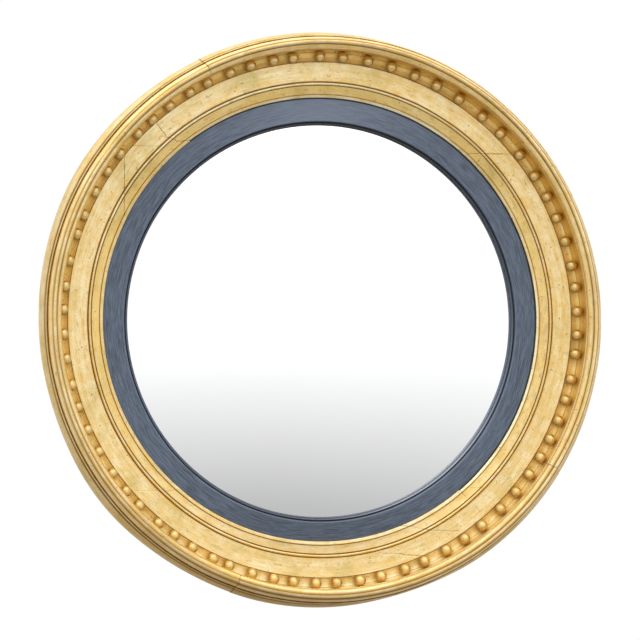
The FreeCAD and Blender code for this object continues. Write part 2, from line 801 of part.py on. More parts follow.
block_outer = shelf_radius.value - value("glass_block_gap")
block_inner = block_outer - value("glass_block_width")
glass_block = Part.makeBox(
    value("glass_block_width"),
    value("glass_block_length"),
    glass_sight_depth.value - slip_foot.value,
    FreeCAD.Vector(block_inner, -value("glass_block_length") / 2, slip_foot.value),
)
rebate_wall = Part.makeCylinder(block_outer, glass_sight_depth.value)
behind_glass = Part.makeSphere(
    glass_back_sphere.value - value("glass_block_gap"), FreeCAD.Vector(0, 0, glass_centre.value)
)
glass_block = glass_block.common(rebate_wall).common(behind_glass)
block_turns = [
    FreeCAD.Placement(ORIGIN, FreeCAD.Rotation(TOWARDS_ROOM, angle))
    for angle in round_the_ring(int(value("glass_block_count")), value("glass_block_first_angle"))
]
hang(solid("glass_blocks", placed(glass_block, block_turns)), "glass_blocks")
hang(solid("slip_pins", pins), "slip_pins")

# --- backboards: three upright boards in the rebate, screwed to the back ring ---

board_seam = size("board_joint_offset")
half_seam = size("board_joint_gap") / 2
BOARDS = {
    "backboard_left": (no_size - far, no_size - board_seam - half_seam),
    "backboard_middle": (half_seam - board_seam, board_seam - half_seam),
    "backboard_right": (board_seam + half_seam, far),
}
disc = doc.addObject("Part::Cylinder", "backboard_disc")
disc.setExpression("Radius", board_radius.formula)
disc.setExpression("Height", "Sizes.board_thickness")
board_cuts = solid("backboard_holes", board_holes)
drilled_disc = cut("backboard_drilled", disc, board_cuts)
for name, (left, right) in BOARDS.items():
    region = block(name + "_region", (left, no_size - far, no_size), (right, far, far))
    hang(common(name + "_cut", drilled_disc, region), name)

# --- fasteners ---

hang(solid("backboard_screws", placed(screw(*screw_sizes("board")), board_screw_spots)), "backboard_screws")
hang(solid("layer_screws", placed(screw(*screw_sizes("layer")), layer_screw_spots)), "layer_screws")
hang(solid("back_ring_dowels", back_dowels), "back_ring_dowels")
hang(solid("frieze_dowels", frieze_dowels), "frieze_dowels")

# --- hangers: a brass strap folded round the straight side of a wire ring, held by two screws ---

wire = value("wire_radius")
pivot_depth = strap_face - value("ring_lift") - wire
knuckle_bore = wire + value("wire_clearance")
knuckle_radius = knuckle_bore + value("strap_thickness")


def strap():
    """Flat strap in the bottom of the recess, with its end rolled into the knuckle that the ring turns in."""
    half = value("strap_width") / 2
    across = FreeCAD.Vector(1, 0, 0)
    plate_length = value("strap_length") - half
    thickness = value("strap_thickness")
    plate = Part.makeBox(2 * half, plate_length, thickness, FreeCAD.Vector(-half, -plate_length, strap_face))
    plate = plate.fuse(Part.makeCylinder(half, thickness, FreeCAD.Vector(0, -plate_length, strap_face)))
    knuckle = Part.makeCylinder(knuckle_radius, 2 * half, FreeCAD.Vector(-half, 0, pivot_depth), across)
    web_height = value("mortise_depth") - pivot_depth
    web_corner = FreeCAD.Vector(-half, -knuckle_radius, pivot_depth)
    web = Part.makeBox(2 * half, knuckle_radius, web_height, web_corner)
    bore = Part.makeCylinder(knuckle_bore, 4 * half, FreeCAD.Vector(-2 * half, 0, pivot_depth), across)
    whole = plate.fuse(knuckle).fuse(web).cut(bore).cut(strap_holes)
    return whole.common(trimmed_to_recess(half)).removeSplitter()


def trimmed_to_recess(half):
    """The room between the wall plane and the floor of the recess, along the strap."""
    reach = value("strap_length")
    return Part.makeBox(2 * half, 2 * reach, value("mortise_depth"), FreeCAD.Vector(-half, -reach, 0))


def hanging_ring():
    """Wire bent to a D: a straight side through the knuckle, two short sides and a half-round bow."""
    wide = value("ring_half_width")
    corner = value("ring_corner_radius")
    bow_at = -(corner + value("ring_side_length"))
    dip = corner * (1 - math.sqrt(0.5))

    def at(across, along):
        return FreeCAD.Vector(across, along, pivot_depth)

    path = [
        Part.makeLine(at(corner - wide, 0), at(wide - corner, 0)),
        Part.Arc(at(wide - corner, 0), at(wide - dip, -dip), at(wide, -corner)).toShape(),
        Part.makeLine(at(wide, -corner), at(wide, bow_at)),
        Part.Arc(at(wide, bow_at), at(0, bow_at - wide), at(-wide, bow_at)).toShape(),
        Part.makeLine(at(-wide, bow_at), at(-wide, -corner)),
        Part.Arc(at(-wide, -corner), at(dip - wide, -dip), at(corner - wide, 0)).toShape(),
    ]
    round_section = Part.Wire(Part.makeCircle(wire, at(0, 0), FreeCAD.Vector(1, 0, 0)))
    halves = Part.makeLine(at(0, 0), at(wide - corner, 0)), Part.makeLine(at(corner - wide, 0), at(0, 0))
    route = Part.Wire([halves[0]] + path[1:] + [halves[1]])
    return route.makePipeShell([round_section], True, False)


for side, spot in hanger_spots:
    hang(solid(f"hanger_strap_{side}", strap()), f"hanger_strap_{side}", spot)
    hang(solid(f"hanger_ring_{side}", hanging_ring()), f"hanger_ring_{side}", spot)
all_strap_screws = placed(strap_screws, [spot for _, spot in hanger_spots])
hang(solid("hanger_screws", all_strap_screws), "hanger_screws")

# --- recompute, check and write ---

doc.recompute()
for feature in doc.Objects:
    faults = {"Invalid", "Error"} & set(feature.State)
    if faults:
        raise RuntimeError(f"{feature.Label} is {faults}")
for feature in nodes:
    if feature.Shape.isNull() or not feature.Shape.isValid():
        raise RuntimeError(f"{feature.Label} has no valid shape")

os.makedirs("parts", exist_ok=True)
for feature in nodes:
    feature.Shape.exportStep(f"parts/{feature.Label}.step")
    shape = feature.Shape
    print(f"{feature.Label:26s} solids {len(shape.Solids):3d}  volume {shape.Volume:12.1f}")
for side, spot in hanger_spots:
    pivot = HUNG.multVec(spot.multVec(FreeCAD.Vector(0, 0, pivot_depth)))
    along = HUNG.Rotation.multVec(spot.Rotation.multVec(FreeCAD.Vector(1, 0, 0)))
    print(f"hanger {side}: pivot {tuple(pivot)}, axis {tuple(along)}")
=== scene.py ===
"""A convex butler's mirror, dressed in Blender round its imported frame.

The mirror faces -Y with +Z up, and its back lies in the plane y = 0. A radius is a distance from the middle
of the mirror, a height is a distance in front of the wall, and angles run counter-clockwise from three
o'clock, as seen from the front. Lengths are in metres. A stretch of the ring is given by its middle and its
width, in degrees.
"""

import math

import bmesh
import bpy
import numpy as np
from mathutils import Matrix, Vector


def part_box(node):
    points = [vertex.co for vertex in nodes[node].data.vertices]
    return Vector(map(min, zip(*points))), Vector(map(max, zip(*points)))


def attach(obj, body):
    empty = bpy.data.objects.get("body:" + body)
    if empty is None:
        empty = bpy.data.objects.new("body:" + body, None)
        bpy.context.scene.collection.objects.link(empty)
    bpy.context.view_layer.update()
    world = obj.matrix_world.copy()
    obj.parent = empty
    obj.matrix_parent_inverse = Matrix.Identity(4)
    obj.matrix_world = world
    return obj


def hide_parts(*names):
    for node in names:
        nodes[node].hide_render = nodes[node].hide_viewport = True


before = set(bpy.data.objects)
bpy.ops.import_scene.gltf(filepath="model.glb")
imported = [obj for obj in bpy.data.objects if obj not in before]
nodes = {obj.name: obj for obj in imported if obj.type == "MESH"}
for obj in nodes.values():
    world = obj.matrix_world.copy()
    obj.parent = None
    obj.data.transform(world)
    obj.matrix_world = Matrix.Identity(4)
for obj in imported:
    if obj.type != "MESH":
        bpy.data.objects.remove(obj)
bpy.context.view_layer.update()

# --- camera: it stood 2.45 m away, a little to the left of the mirror and just below its middle ---

CAMERA_DISTANCE = 2.45
CAMERA_AZIMUTH = math.radians(-12.7)
CAMERA_ELEVATION = math.radians(-1.6)
CAMERA_LENS = 129.4
CAMERA_SENSOR = 36.0
SLIP_FACE_CENTRE = Vector((0.0, -0.030, 0.0))
AIM_TO_LEFT = 0.0037
AIM_DOWN = 0.0006

towards_camera = Vector(
    (
        math.sin(CAMERA_AZIMUTH) * math.cos(CAMERA_ELEVATION),
        -math.cos(CAMERA_AZIMUTH) * math.cos(CAMERA_ELEVATION),
        math.sin(CAMERA_ELEVATION),
    )
)
camera_spot = SLIP_FACE_CENTRE + CAMERA_DISTANCE * towards_camera
to_right = Vector((0.0, 0.0, 1.0)).cross(towards_camera).normalized()
upwards = towards_camera.cross(to_right)
aim = SLIP_FACE_CENTRE - AIM_TO_LEFT * to_right - AIM_DOWN * upwards
camera_data = bpy.data.cameras.new("camera")
camera_data.lens = CAMERA_LENS
camera_data.sensor_width = CAMERA_SENSOR
camera_data.clip_end = 100.0
camera = bpy.data.objects.new("camera", camera_data)
camera.location = camera_spot
camera.rotation_euler = (aim - camera_spot).to_track_quat("-Z", "Y").to_euler()
bpy.context.scene.collection.objects.link(camera)
bpy.context.scene.camera = camera

# --- light: a white studio, brightest overhead. Below eye level it fades to grey, which the convex plate
# shows as a soft shade over its lower half. ---

OVERHEAD_LEVEL = 2.2
FRONT_LEVEL = 1.07
LOW_LEVEL = 0.54
UNDER_LEVEL = 0.20
WALL_LEVEL = 1.02  # what the camera sees behind the mirror


def put(tree, kind, inputs=None, output=0, **settings):
    """Adds a node of that kind, sets or links its inputs by name or number, and gives back one output."""
    node = tree.nodes.new(kind)
    for name, setting in settings.items():
        setattr(node, name, setting)
    for socket, given in (inputs or {}).items():
        if isinstance(given, bpy.types.NodeSocket):
            tree.links.new(given, node.inputs[socket])
        else:
            node.inputs[socket].default_value = given
    return node.outputs[output] if node.outputs else None


def remap(tree, given, low, high, to_low=0.0, to_high=1.0, smooth=True):
    """A value run from one range to another and held at its ends."""
    inputs = {"Value": given, "From Min": low, "From Max": high, "To Min": to_low, "To Max": to_high}
    kind = "SMOOTHSTEP" if smooth else "LINEAR"
    return put(tree, "ShaderNodeMapRange", inputs, interpolation_type=kind)


def math_node(tree, operation, first, second=0.0):
    """One sum, product or other step on two values."""
    return put(tree, "ShaderNodeMath", {0: first, 1: second}, operation=operation)


world = bpy.data.worlds.new("white_studio")
bpy.context.scene.world = world
world.use_nodes = True
tree = world.node_tree
tree.nodes.clear()
direction = put(tree, "ShaderNodeTexCoord", output="Generated")
height = put(tree, "ShaderNodeSeparateXYZ", {0: direction}, "Z")
overhead = remap(tree, height, 0.35, 0.95)
low = remap(tree, height, -0.10, -0.56, smooth=False)
under = remap(tree, height, -0.60, -0.95)
level = put(tree, "ShaderNodeMix", {0: overhead, 2: FRONT_LEVEL, 3: OVERHEAD_LEVEL})
level = put(tree, "ShaderNodeMix", {0: low, 2: level, 3: LOW_LEVEL})
level = put(tree, "ShaderNodeMix", {0: under, 2: level, 3: UNDER_LEVEL})
seen = put(tree, "ShaderNodeLightPath", output="Is Camera Ray")
level = put(tree, "ShaderNodeMix", {0: seen, 2: level, 3: WALL_LEVEL})
background = put(tree, "ShaderNodeBackground", {"Color": (1.0, 1.0, 1.0, 1.0), "Strength": level})
put(tree, "ShaderNodeOutputWorld", {"Surface": background})
bpy.context.scene.view_settings.view_transform = "Standard"

# --- floor: a pale satin studio floor, which ends nearer than the convex plate can show ---

FLOOR_LEVEL = -1.2
FLOOR_COLOUR = (0.45, 0.45, 0.46, 1.0)
FLOOR_SIDE = 12.0
FLOOR_FRONT = -0.95
FLOOR_BACK = 3.0


def new_material(name):
    """A material with an empty node tree."""
    material = bpy.data.materials.new(name)
    material.use_nodes = True
    material.node_tree.nodes.clear()
    return material


def surface(tree, inputs, **settings):
    """The main shader of a material, joined to its output."""
    shader = put(tree, "ShaderNodeBsdfPrincipled", inputs, **settings)
    put(tree, "ShaderNodeOutputMaterial", {"Surface": shader})


floor_material = new_material("pale_floor")
tree = floor_material.node_tree
place = put(tree, "ShaderNodeTexCoord", output="Object")
mottle = put(tree, "ShaderNodeTexNoise", {"Vector": place, "Scale": 3.0, "Detail": 4.0}, "Fac")
shade = remap(tree, mottle, 0.3, 0.7, 0.97, 1.03)
floor_colour = put(
    tree, "ShaderNodeVectorMath", {0: FLOOR_COLOUR[:3], "Scale": shade}, operation="SCALE"
)
surface(tree, {"Base Color": floor_colour, "Roughness": 0.25, "IOR": 1.5})
floor_mesh = bpy.data.meshes.new("floor")
floor_corners = [
    (-FLOOR_SIDE, FLOOR_FRONT, FLOOR_LEVEL),
    (FLOOR_SIDE, FLOOR_FRONT, FLOOR_LEVEL),
    (FLOOR_SIDE, FLOOR_BACK, FLOOR_LEVEL),
    (-FLOOR_SIDE, FLOOR_BACK, FLOOR_LEVEL),
]
floor_mesh.from_pydata(floor_corners, [], [(0, 1, 2, 3)])
floor_mesh.materials.append(floor_material)
floor = bpy.data.objects.new("floor", floor_mesh)
bpy.context.scene.collection.objects.link(floor)

# --- frieze ring: four boards turned together, gessoed and gilded with warm leaf. They meet on two level
# lines, and their face has a sight fillet, a narrow frieze, a step bead, a wide frieze and the floor of the
# hollow. ---

FRIEZE_FINE = 0.00075
FRIEZE_JOINT_LEVEL = 0.180
FRIEZE_BOARD_LENGTH = 0.46
FRIEZE_SECTION = (  # radius, height, and how far the run up to that corner swells out
    (0.24050, 0.02000, 0.0),
    (0.24050, 0.03010, 0.0),
    (0.23590, 0.03010, 0.0),
    (0.23590, 0.03220, 0.0),
    (0.23935, 0.03370, 0.0),
    (0.23980, 0.03250, 0.0),
    (0.24025, 0.03370, 0.0),
    (0.24855, 0.03850, -0.00029),
    (0.24900, 0.03730, 0.0),
    (0.24945, 0.03850, 0.0),
    (0.25225, 0.03850, 0.00118),
    (0.25270, 0.03730, 0.0),
    (0.25315, 0.03850, 0.0),
    (0.27350, 0.04090, -0.00061),
    (0.27395, 0.03970, 0.0),
    (0.27430, 0.04090, 0.0),
    (0.28360, 0.04034, -0.00162),
    (0.28360, 0.02000, 0.0),
)
FRIEZE_LINES = ((0.2398, 0.55), (0.2490, 0.9), (0.2527, 0.9), (0.27395, 0.7))  # radius, and depth of brown, partly the gilding's tone and partly painted shade
LINE_WIDTH = 0.00045
FACE_FROM_HEIGHT = 0.0305  # the gilded face is above this height
FACE_TO_RADIUS = 0.2835  # and inside this radius
FACE_SUNK = 0.00016  # the waves of the gesso start this far under the turned face
SIGHT_FILLET_AT = 0.2378
SIGHT_FILLET_REACH = 0.0016
SIGHT_FILLET_EDGE = 0.2392
NARROW_FROM = 0.2401
NARROW_TO = 0.2487
STEP_BEAD_AT = 0.2508
STEP_BEAD_REACH = 0.0014
WIDE_FROM = 0.2531
HOLLOW_FROM = 0.2741
BALL_CIRCLE = 0.2793
FRIEZE_CRACKS = (  # from and to, as x and z, and how open: the pull of the boards has split gesso and leaf
    ((-0.2149, 0.1678), (-0.2142, 0.1080), 0.8),
    ((-0.1808, 0.2031), (-0.1691, 0.1898), 0.9),
    ((-0.1691, 0.1898), (-0.1575, 0.1859), 0.8),
    ((-0.1575, 0.1859), (-0.1447, 0.1872), 1.0),
    ((0.1490, -0.1824), (0.1556, -0.1900), 0.8),
    ((0.1657, -0.2008), (0.1701, -0.2051), 0.5),
    ((0.1949, -0.1775), (0.2039, -0.1700), 0.4),
    ((0.0791, -0.2200), (0.0946, -0.2213), 0.7),
    ((0.0946, -0.2213), (0.1145, -0.2247), 0.6),
    ((0.1145, -0.2247), (0.1455, -0.2262), 0.6),
    ((0.0594, -0.2484), (0.0813, -0.2498), 0.5),
    ((0.0813, -0.2498), (0.1034, -0.2523), 0.8),
    ((0.1034, -0.2523), (0.1189, -0.2525), 0.5),
    ((0.1590, 0.1800), (0.1960, 0.1800), 0.6),
)
CRACK_END = 0.002
CRACK_REACH = 0.003
CRACK_DEPTH = 0.00025
SIGHT_STEP = 0.0009  # the sight edge is cut back this far between two of its breaks
SIGHT_STEP_FROM = math.radians(-50.8)
SIGHT_STEP_TO = math.radians(127.7)
FILLET_PALE = ((320.0, 45.0), (75.0, 50.0))  # stretches round the ring: painted highlights, painted light and painted shade, worn leaf, and paler and browner leaf
FILLET_TONED = NARROW_PALE = (268.0, 60.0)
NARROW_TONED = (272.0, 38.0)
NARROW_WORN = (350.0, 20.0)
STEP_BEAD_BRIGHT = (112.0, 45.0)
WIDE_PALE = (125.0, 55.0)
HOLLOW_PALE = (275.0, 60.0)
HOLLOW_SHADED = (150.0, 36.0)
HOLLOW_STAINED = (300.0, 80.0)
# the leaf's colours, with a dark, strong gold for painted shade, a near-white for painted highlights, a
# brighter gold for painted light, and a brown for the gilding's tone and for painted shade
GOLD_PALE = (0.88, 0.67, 0.33, 1.0)
GOLD_WARM = (0.78, 0.50, 0.13, 1.0)
GOLD_OLIVE = (0.56, 0.42, 0.12, 1.0)
GOLD_DEEP = (0.70, 0.38, 0.05, 1.0)
GOLD_BRIGHT = (0.98, 0.90, 0.60, 1.0)
GOLD_HOLLOW = (0.98, 0.71, 0.24, 1.0)
BOLE = (0.42, 0.24, 0.17, 1.0)
TONING_BROWN = (0.16, 0.075, 0.012, 1.0)


def section_points(corners, step):
    """The points of a closed section, as (radius, height) rows: straight runs between its corners, or arcs of
    a circle that leave the straight line by the given swell, cut into steps of about that length."""
    starts = np.array(corners)[:, :2]
    ends = np.roll(starts, -1, axis=0)
    swells = np.roll(np.array(corners)[:, 2], -1)
    runs = []
    for start, end, swell in zip(starts, ends, swells):
        chord = np.linalg.norm(end - start)
        count = max(2, math.ceil(chord / step))
        share = np.arange(count) / count
        along = (end - start) / chord
        outward = np.array((-along[1], along[0]))
        if abs(swell) < 1e-9:
            rise = np.zeros(count)
            run = share * chord
        else:
            half_turn = 2.0 * math.atan(2.0 * swell / chord)
            radius = chord / 2.0 / math.sin(half_turn)
            turn = (2.0 * share - 1.0) * half_turn
            run = chord / 2.0 + radius * np.sin(turn)
            rise = radius * (np.cos(turn) - math.cos(half_turn))
        runs.append(start + run[:, None] * along + rise[:, None] * outward)
    return np.concatenate(runs)


def walked(rows):
    """How far each point of a section is along it from the first."""
    return np.cumsum(np.linalg.norm(np.diff(rows, axis=0, prepend=rows[:1]), axis=1))


def grid(rows, across, stations):
    """The radius, the height and the distance across of every section point, repeated at each station."""
    return [np.repeat(column[:, None], len(stations), axis=1) for column in (rows[:, 0], rows[:, 1], across)]


def lumps(angle, across, cells_round, cell_across, seed):
    """A smooth random field from -1 to 1: seeded values on a lattice of cells round the ring and strips
    across it, joined by smooth blends."""
    strips = 64
    lattice = np.random.default_rng(seed).uniform(-1.0, 1.0, (strips, cells_round))
    round_it = np.mod(angle / (2.0 * np.pi), 1.0) * cells_round
    over_it = np.mod(across / cell_across, strips)
    column = np.floor(round_it).astype(int)
    row = np.floor(over_it).astype(int)
    blend_round = (round_it - column) ** 2 * (3.0 - 2.0 * (round_it - column))
    blend_over = (over_it - row) ** 2 * (3.0 - 2.0 * (over_it - row))
    left, right = column % cells_round, (column + 1) % cells_round
    lower, upper = row % strips, (row + 1) % strips
    low = lattice[lower, left] * (1.0 - blend_round) + lattice[lower, right] * blend_round
    high = lattice[upper, left] * (1.0 - blend_round) + lattice[upper, right] * blend_round
    return low * (1.0 - blend_over) + high * blend_over


def ramp(past, length):
    """0 up to a place, 1 beyond a given length past it, and straight between."""
    return np.clip(past / length, 0.0, 1.0)


def hump(value, middle, width):
    """A bell curve of height 1 round a middle value."""
    return np.exp(-(((value - middle) / width) ** 2))


def angle_hump(angle, middle, width):
    """A bell curve of height 1 round an angle, all in degrees, that closes on itself after a full turn."""
    away = np.mod(np.degrees(angle) - middle + 180.0, 360.0) - 180.0
    return np.exp(-((away / width) ** 2))


def smooth_mesh(name, points, faces, material):
    """A mesh object at the origin with smooth faces, from an array of points and a list of arrays of faces,
    each array with its own number of corners."""
    mesh = bpy.data.meshes.new(name)
    mesh.vertices.add(len(points))
    mesh.vertices.foreach_set("co", points.astype(np.float32).ravel())
    corners = np.concatenate([group.ravel() for group in faces])
    sizes = np.concatenate([np.full(len(group), group.shape[1]) for group in faces])
    starts = np.concatenate(([0], np.cumsum(sizes)[:-1]))
    mesh.loops.add(len(corners))
    mesh.loops.foreach_set("vertex_index", corners.astype(np.int32))
    mesh.polygons.add(len(sizes))
    mesh.polygons.foreach_set("loop_start", starts.astype(np.int32))
    mesh.polygons.foreach_set("use_smooth", np.ones(len(sizes), bool))
    mesh.update(calc_edges=True)
    mesh.validate()
    mesh.materials.append(material)
    piece = bpy.data.objects.new(name, mesh)
    bpy.context.scene.collection.objects.link(piece)
    return piece


def paint(piece, **fields):
    """Stores fields of values on the points of a piece, for its material."""
    for name, field in fields.items():
        attribute = piece.data.attributes.new(name, "FLOAT", "POINT")
        attribute.data.foreach_set("value", np.asarray(field, np.float32).ravel())


def ring_piece(name, radius, height, angle, material, whole_turn=False):
    """A closed section carried round the axis. The arrays are [section point, station], and the point at
    radius r, height h and angle a is (r cos a, -h, r sin a). A length that isn't a whole turn gets its two
    ends filled."""
    points = np.stack([radius * np.cos(angle), -height, radius * np.sin(angle)], axis=-1).reshape(-1, 3)
    rows, stations = radius.shape
    index = np.arange(rows * stations).reshape(rows, stations)
    next_row = np.roll(index, -1, axis=0)
    if whole_turn:
        onward, next_onward = np.roll(index, -1, axis=1), np.roll(next_row, -1, axis=1)
        quads = np.stack([index, next_row, next_onward, onward], axis=-1)
        return smooth_mesh(name, points, [quads.reshape(-1, 4)], material)
    quads = np.stack([index[:, :-1], next_row[:, :-1], next_row[:, 1:], index[:, 1:]], axis=-1)
    ends = np.stack([index[::-1, 0], index[:, -1]])
    piece = smooth_mesh(name, points, [quads.reshape(-1, 4), ends], material)
    piece.data.polygons[-1].use_smooth = False
    piece.data.polygons[-2].use_smooth = False
    return piece


def mixed(tree, share, first, second):
    """A colour between two others."""
    return put(tree, "ShaderNodeMix", {0: share, 6: first, 7: second}, 2, data_type="RGBA")


def painted(tree, name):
    """The value that paint() stored under that name."""
    return put(tree, "ShaderNodeAttribute", output="Fac", attribute_name=name)


def round_the_frame(tree, along, over):
    """Pattern coordinates that follow the ring: the direction from the axis times along, and the painted
    distance across the section times over, so that a noise is drawn out into streaks round the frame."""
    place = put(tree, "ShaderNodeTexCoord", output="Object")
    flat = put(tree, "ShaderNodeVectorMath", {0: place, 1: (1.0, 0.0, 1.0)}, operation="MULTIPLY")
    outward = put(tree, "ShaderNodeVectorMath", {0: flat}, operation="NORMALIZE")
    drawn = put(tree, "ShaderNodeVectorMath", {0: outward, "Scale": along}, operation="SCALE")
    across = math_node(tree, "MULTIPLY", painted(tree, "across"), over)
    over_it = put(tree, "ShaderNodeCombineXYZ", {"Y": across})
    return put(tree, "ShaderNodeVectorMath", {0: drawn, 1: over_it}, operation="ADD")


def noise(tree, vector, scale, detail=3.0, roughness=0.55):
    """A soft random pattern from 0 to 1."""
    inputs = {"Vector": vector, "Scale": scale, "Detail": detail, "Roughness": roughness}
    return put(tree, "ShaderNodeTexNoise", inputs, "Fac")


def gilding(name):
    """Water gilding over bole and gesso: warm leaf, streaked round the frame by the turner's tool and the
    burnisher, paler or more olive in patches, worn to the bole on the crests, and browned in the quirks,
    valleys, joints and
    cracks, where the brown in the quirks and valleys is partly painted shade. Light and shade are painted in
    as well:
    a dark, strong gold and brown as painted shade, a brighter gold as painted light, and near-white painted
    highlights. The painted fields say where: the paleness runs from warm leaf at 0 over paler leaf at 1 to a
    painted highlight at 2."""
    material = new_material(name)
    tree = material.node_tree
    place = put(tree, "ShaderNodeTexCoord", output="Object")
    fine_streaks = noise(tree, round_the_frame(tree, 9.0, 1500.0), 1.0, 4.0, 0.6)
    broad_streaks = noise(tree, round_the_frame(tree, 3.5, 260.0), 1.0, 3.0)
    patches = noise(tree, place, 22.0, 4.0)
    mottle = noise(tree, place, 75.0, 5.0, 0.7)
    grain = noise(tree, place, 900.0, 3.0, 0.7)
    pale = painted(tree, "pale")
    changes = (  # a pattern, the low end of its range, and how far it shifts the leaf
        (broad_streaks, 0.3, 0.30),
        (fine_streaks, 0.3, 0.45),
        (mottle, 0.35, 0.30),
        (grain, 0.3, 0.30),
    )
    for pattern, low, change in changes:
        pale = math_node(tree, "ADD", pale, remap(tree, pattern, low, 1.0 - low, -change, change))
    leaf = mixed(tree, remap(tree, pale, 0.0, 1.0, smooth=False), GOLD_WARM, GOLD_PALE)
    leaf = mixed(tree, painted(tree, "dull"), leaf, GOLD_HOLLOW)
    leaf = mixed(tree, remap(tree, pale, 1.0, 2.0, smooth=False), leaf, GOLD_BRIGHT)
    smears = noise(tree, round_the_frame(tree, 26.0, 300.0), 1.0, 4.0, 0.65)
    leaf = mixed(tree, remap(tree, patches, 0.50, 0.70, 0.0, 0.50), leaf, GOLD_OLIVE)
    leaf = mixed(tree, remap(tree, smears, 0.52, 0.70, 0.0, 0.65), leaf, GOLD_OLIVE)
    leaf = mixed(tree, painted(tree, "deep"), leaf, GOLD_DEEP)
    worn = math_node(tree, "MULTIPLY", painted(tree, "rub"), remap(tree, fine_streaks, 0.38, 0.62))
    leaf = mixed(tree, worn, leaf, BOLE)
    toned = math_node(tree, "MULTIPLY", painted(tree, "toning"), remap(tree, grain, 0.2, 0.6, 0.75, 1.0))
    spots = noise(tree, place, 300.0, 3.0)
    wander = remap(tree, spots, 0.3, 0.7, -0.5, 0.5)
    crack_side = math_node(tree, "ABSOLUTE", math_node(tree, "ADD", painted(tree, "crack_side"), wander))
    cracked = remap(tree, crack_side, 0.15, 0.5, 1.0, 0.0)
    cracked = math_node(tree, "MULTIPLY", cracked, painted(tree, "crack_open"))
    specks = remap(tree, spots, 0.64, 0.72, 0.0, 0.6)
    toned = math_node(tree, "MAXIMUM", toned, math_node(tree, "MAXIMUM", cracked, specks))
    leaf = mixed(tree, toned, leaf, TONING_BROWN)
    bare = math_node(tree, "MAXIMUM", worn, toned)
    matt = math_node(tree, "MAXIMUM", bare, painted(tree, "dull"))
    metal = remap(tree, matt, 0.0, 1.0, 0.94, 0.30, smooth=False)
    gloss = remap(tree, fine_streaks, 0.3, 0.7, 0.28, 0.44)
    gloss = math_node(tree, "ADD", gloss, math_node(tree, "MULTIPLY", bare, 0.15))
    relief = math_node(tree, "ADD", fine_streaks, math_node(tree, "MULTIPLY", grain, 0.5))
    bump = put(tree, "ShaderNodeBump", {"Height": relief, "Distance": 0.00012, "Strength": 0.6})
    finish = {"Base Color": leaf, "Metallic": metal, "Roughness": gloss, "Normal": bump}
    surface(tree, {**finish, "Specular IOR Level": 0.2})
    return material


gilt = gilding("gilding")
frieze_rows = section_points(FRIEZE_SECTION, FRIEZE_FINE)
frieze_across = walked(frieze_rows)
stations = np.linspace(0.0, 1.0, math.ceil(FRIEZE_BOARD_LENGTH / FRIEZE_FINE))

ball_points = np.zeros(len(nodes["gilt_balls"].data.vertices) * 3, np.float32)
nodes["gilt_balls"].data.vertices.foreach_get("co", ball_points)
ball_points = ball_points.reshape(-1, 3)
ball_turns = np.sort(np.arctan2(ball_points[:, 2], ball_points[:, 0]))
ball_breaks = np.flatnonzero(np.diff(ball_turns) > math.radians(1.0)) + 1
ball_angles = np.array([(group[0] + group[-1]) / 2.0 for group in np.split(ball_turns, ball_breaks)])


def from_balls(angle):
    """How far round the ring each point is from the nearest ball, in radians."""
    closed = np.concatenate((ball_angles[-1:] - 2.0 * np.pi, ball_angles, ball_angles[:1] + 2.0 * np.pi))
    turned = np.mod(angle + np.pi, 2.0 * np.pi) - np.pi
    after = np.searchsorted(closed, turned)
    ahead = turned - closed[after - 1]
    behind = turned - closed[np.minimum(after, len(closed) - 1)]
    return np.minimum(np.abs(ahead), np.abs(behind))


def cracks(x, z, lines):
    """For every point: how far it lies beside the nearest crack, in millimetres with a sign, and how open
    the crack is there. Each line runs straight, fades over its ends and reaches a little to its sides."""
    beside = np.full(x.shape, 1000.0 * CRACK_REACH)
    opened = np.zeros(x.shape)
    for (x_from, z_from), (x_to, z_to), depth in lines:
        length = math.hypot(x_to - x_from, z_to - z_from)
        along_x, along_z = (x_to - x_from) / length, (z_to - z_from) / length
        along = (x - x_from) * along_x + (z - z_from) * along_z
        off = (z - z_from) * along_x - (x - x_from) * along_z
        inside = ramp(along + CRACK_END, CRACK_END) * ramp(length - along + CRACK_END, CRACK_END)
        near = (inside > 0.0) & (np.abs(off) < CRACK_REACH)
        beside = np.where(near, 1000.0 * off, beside)
        opened = np.where(near, np.maximum(opened, depth * inside), opened)
    return beside, opened


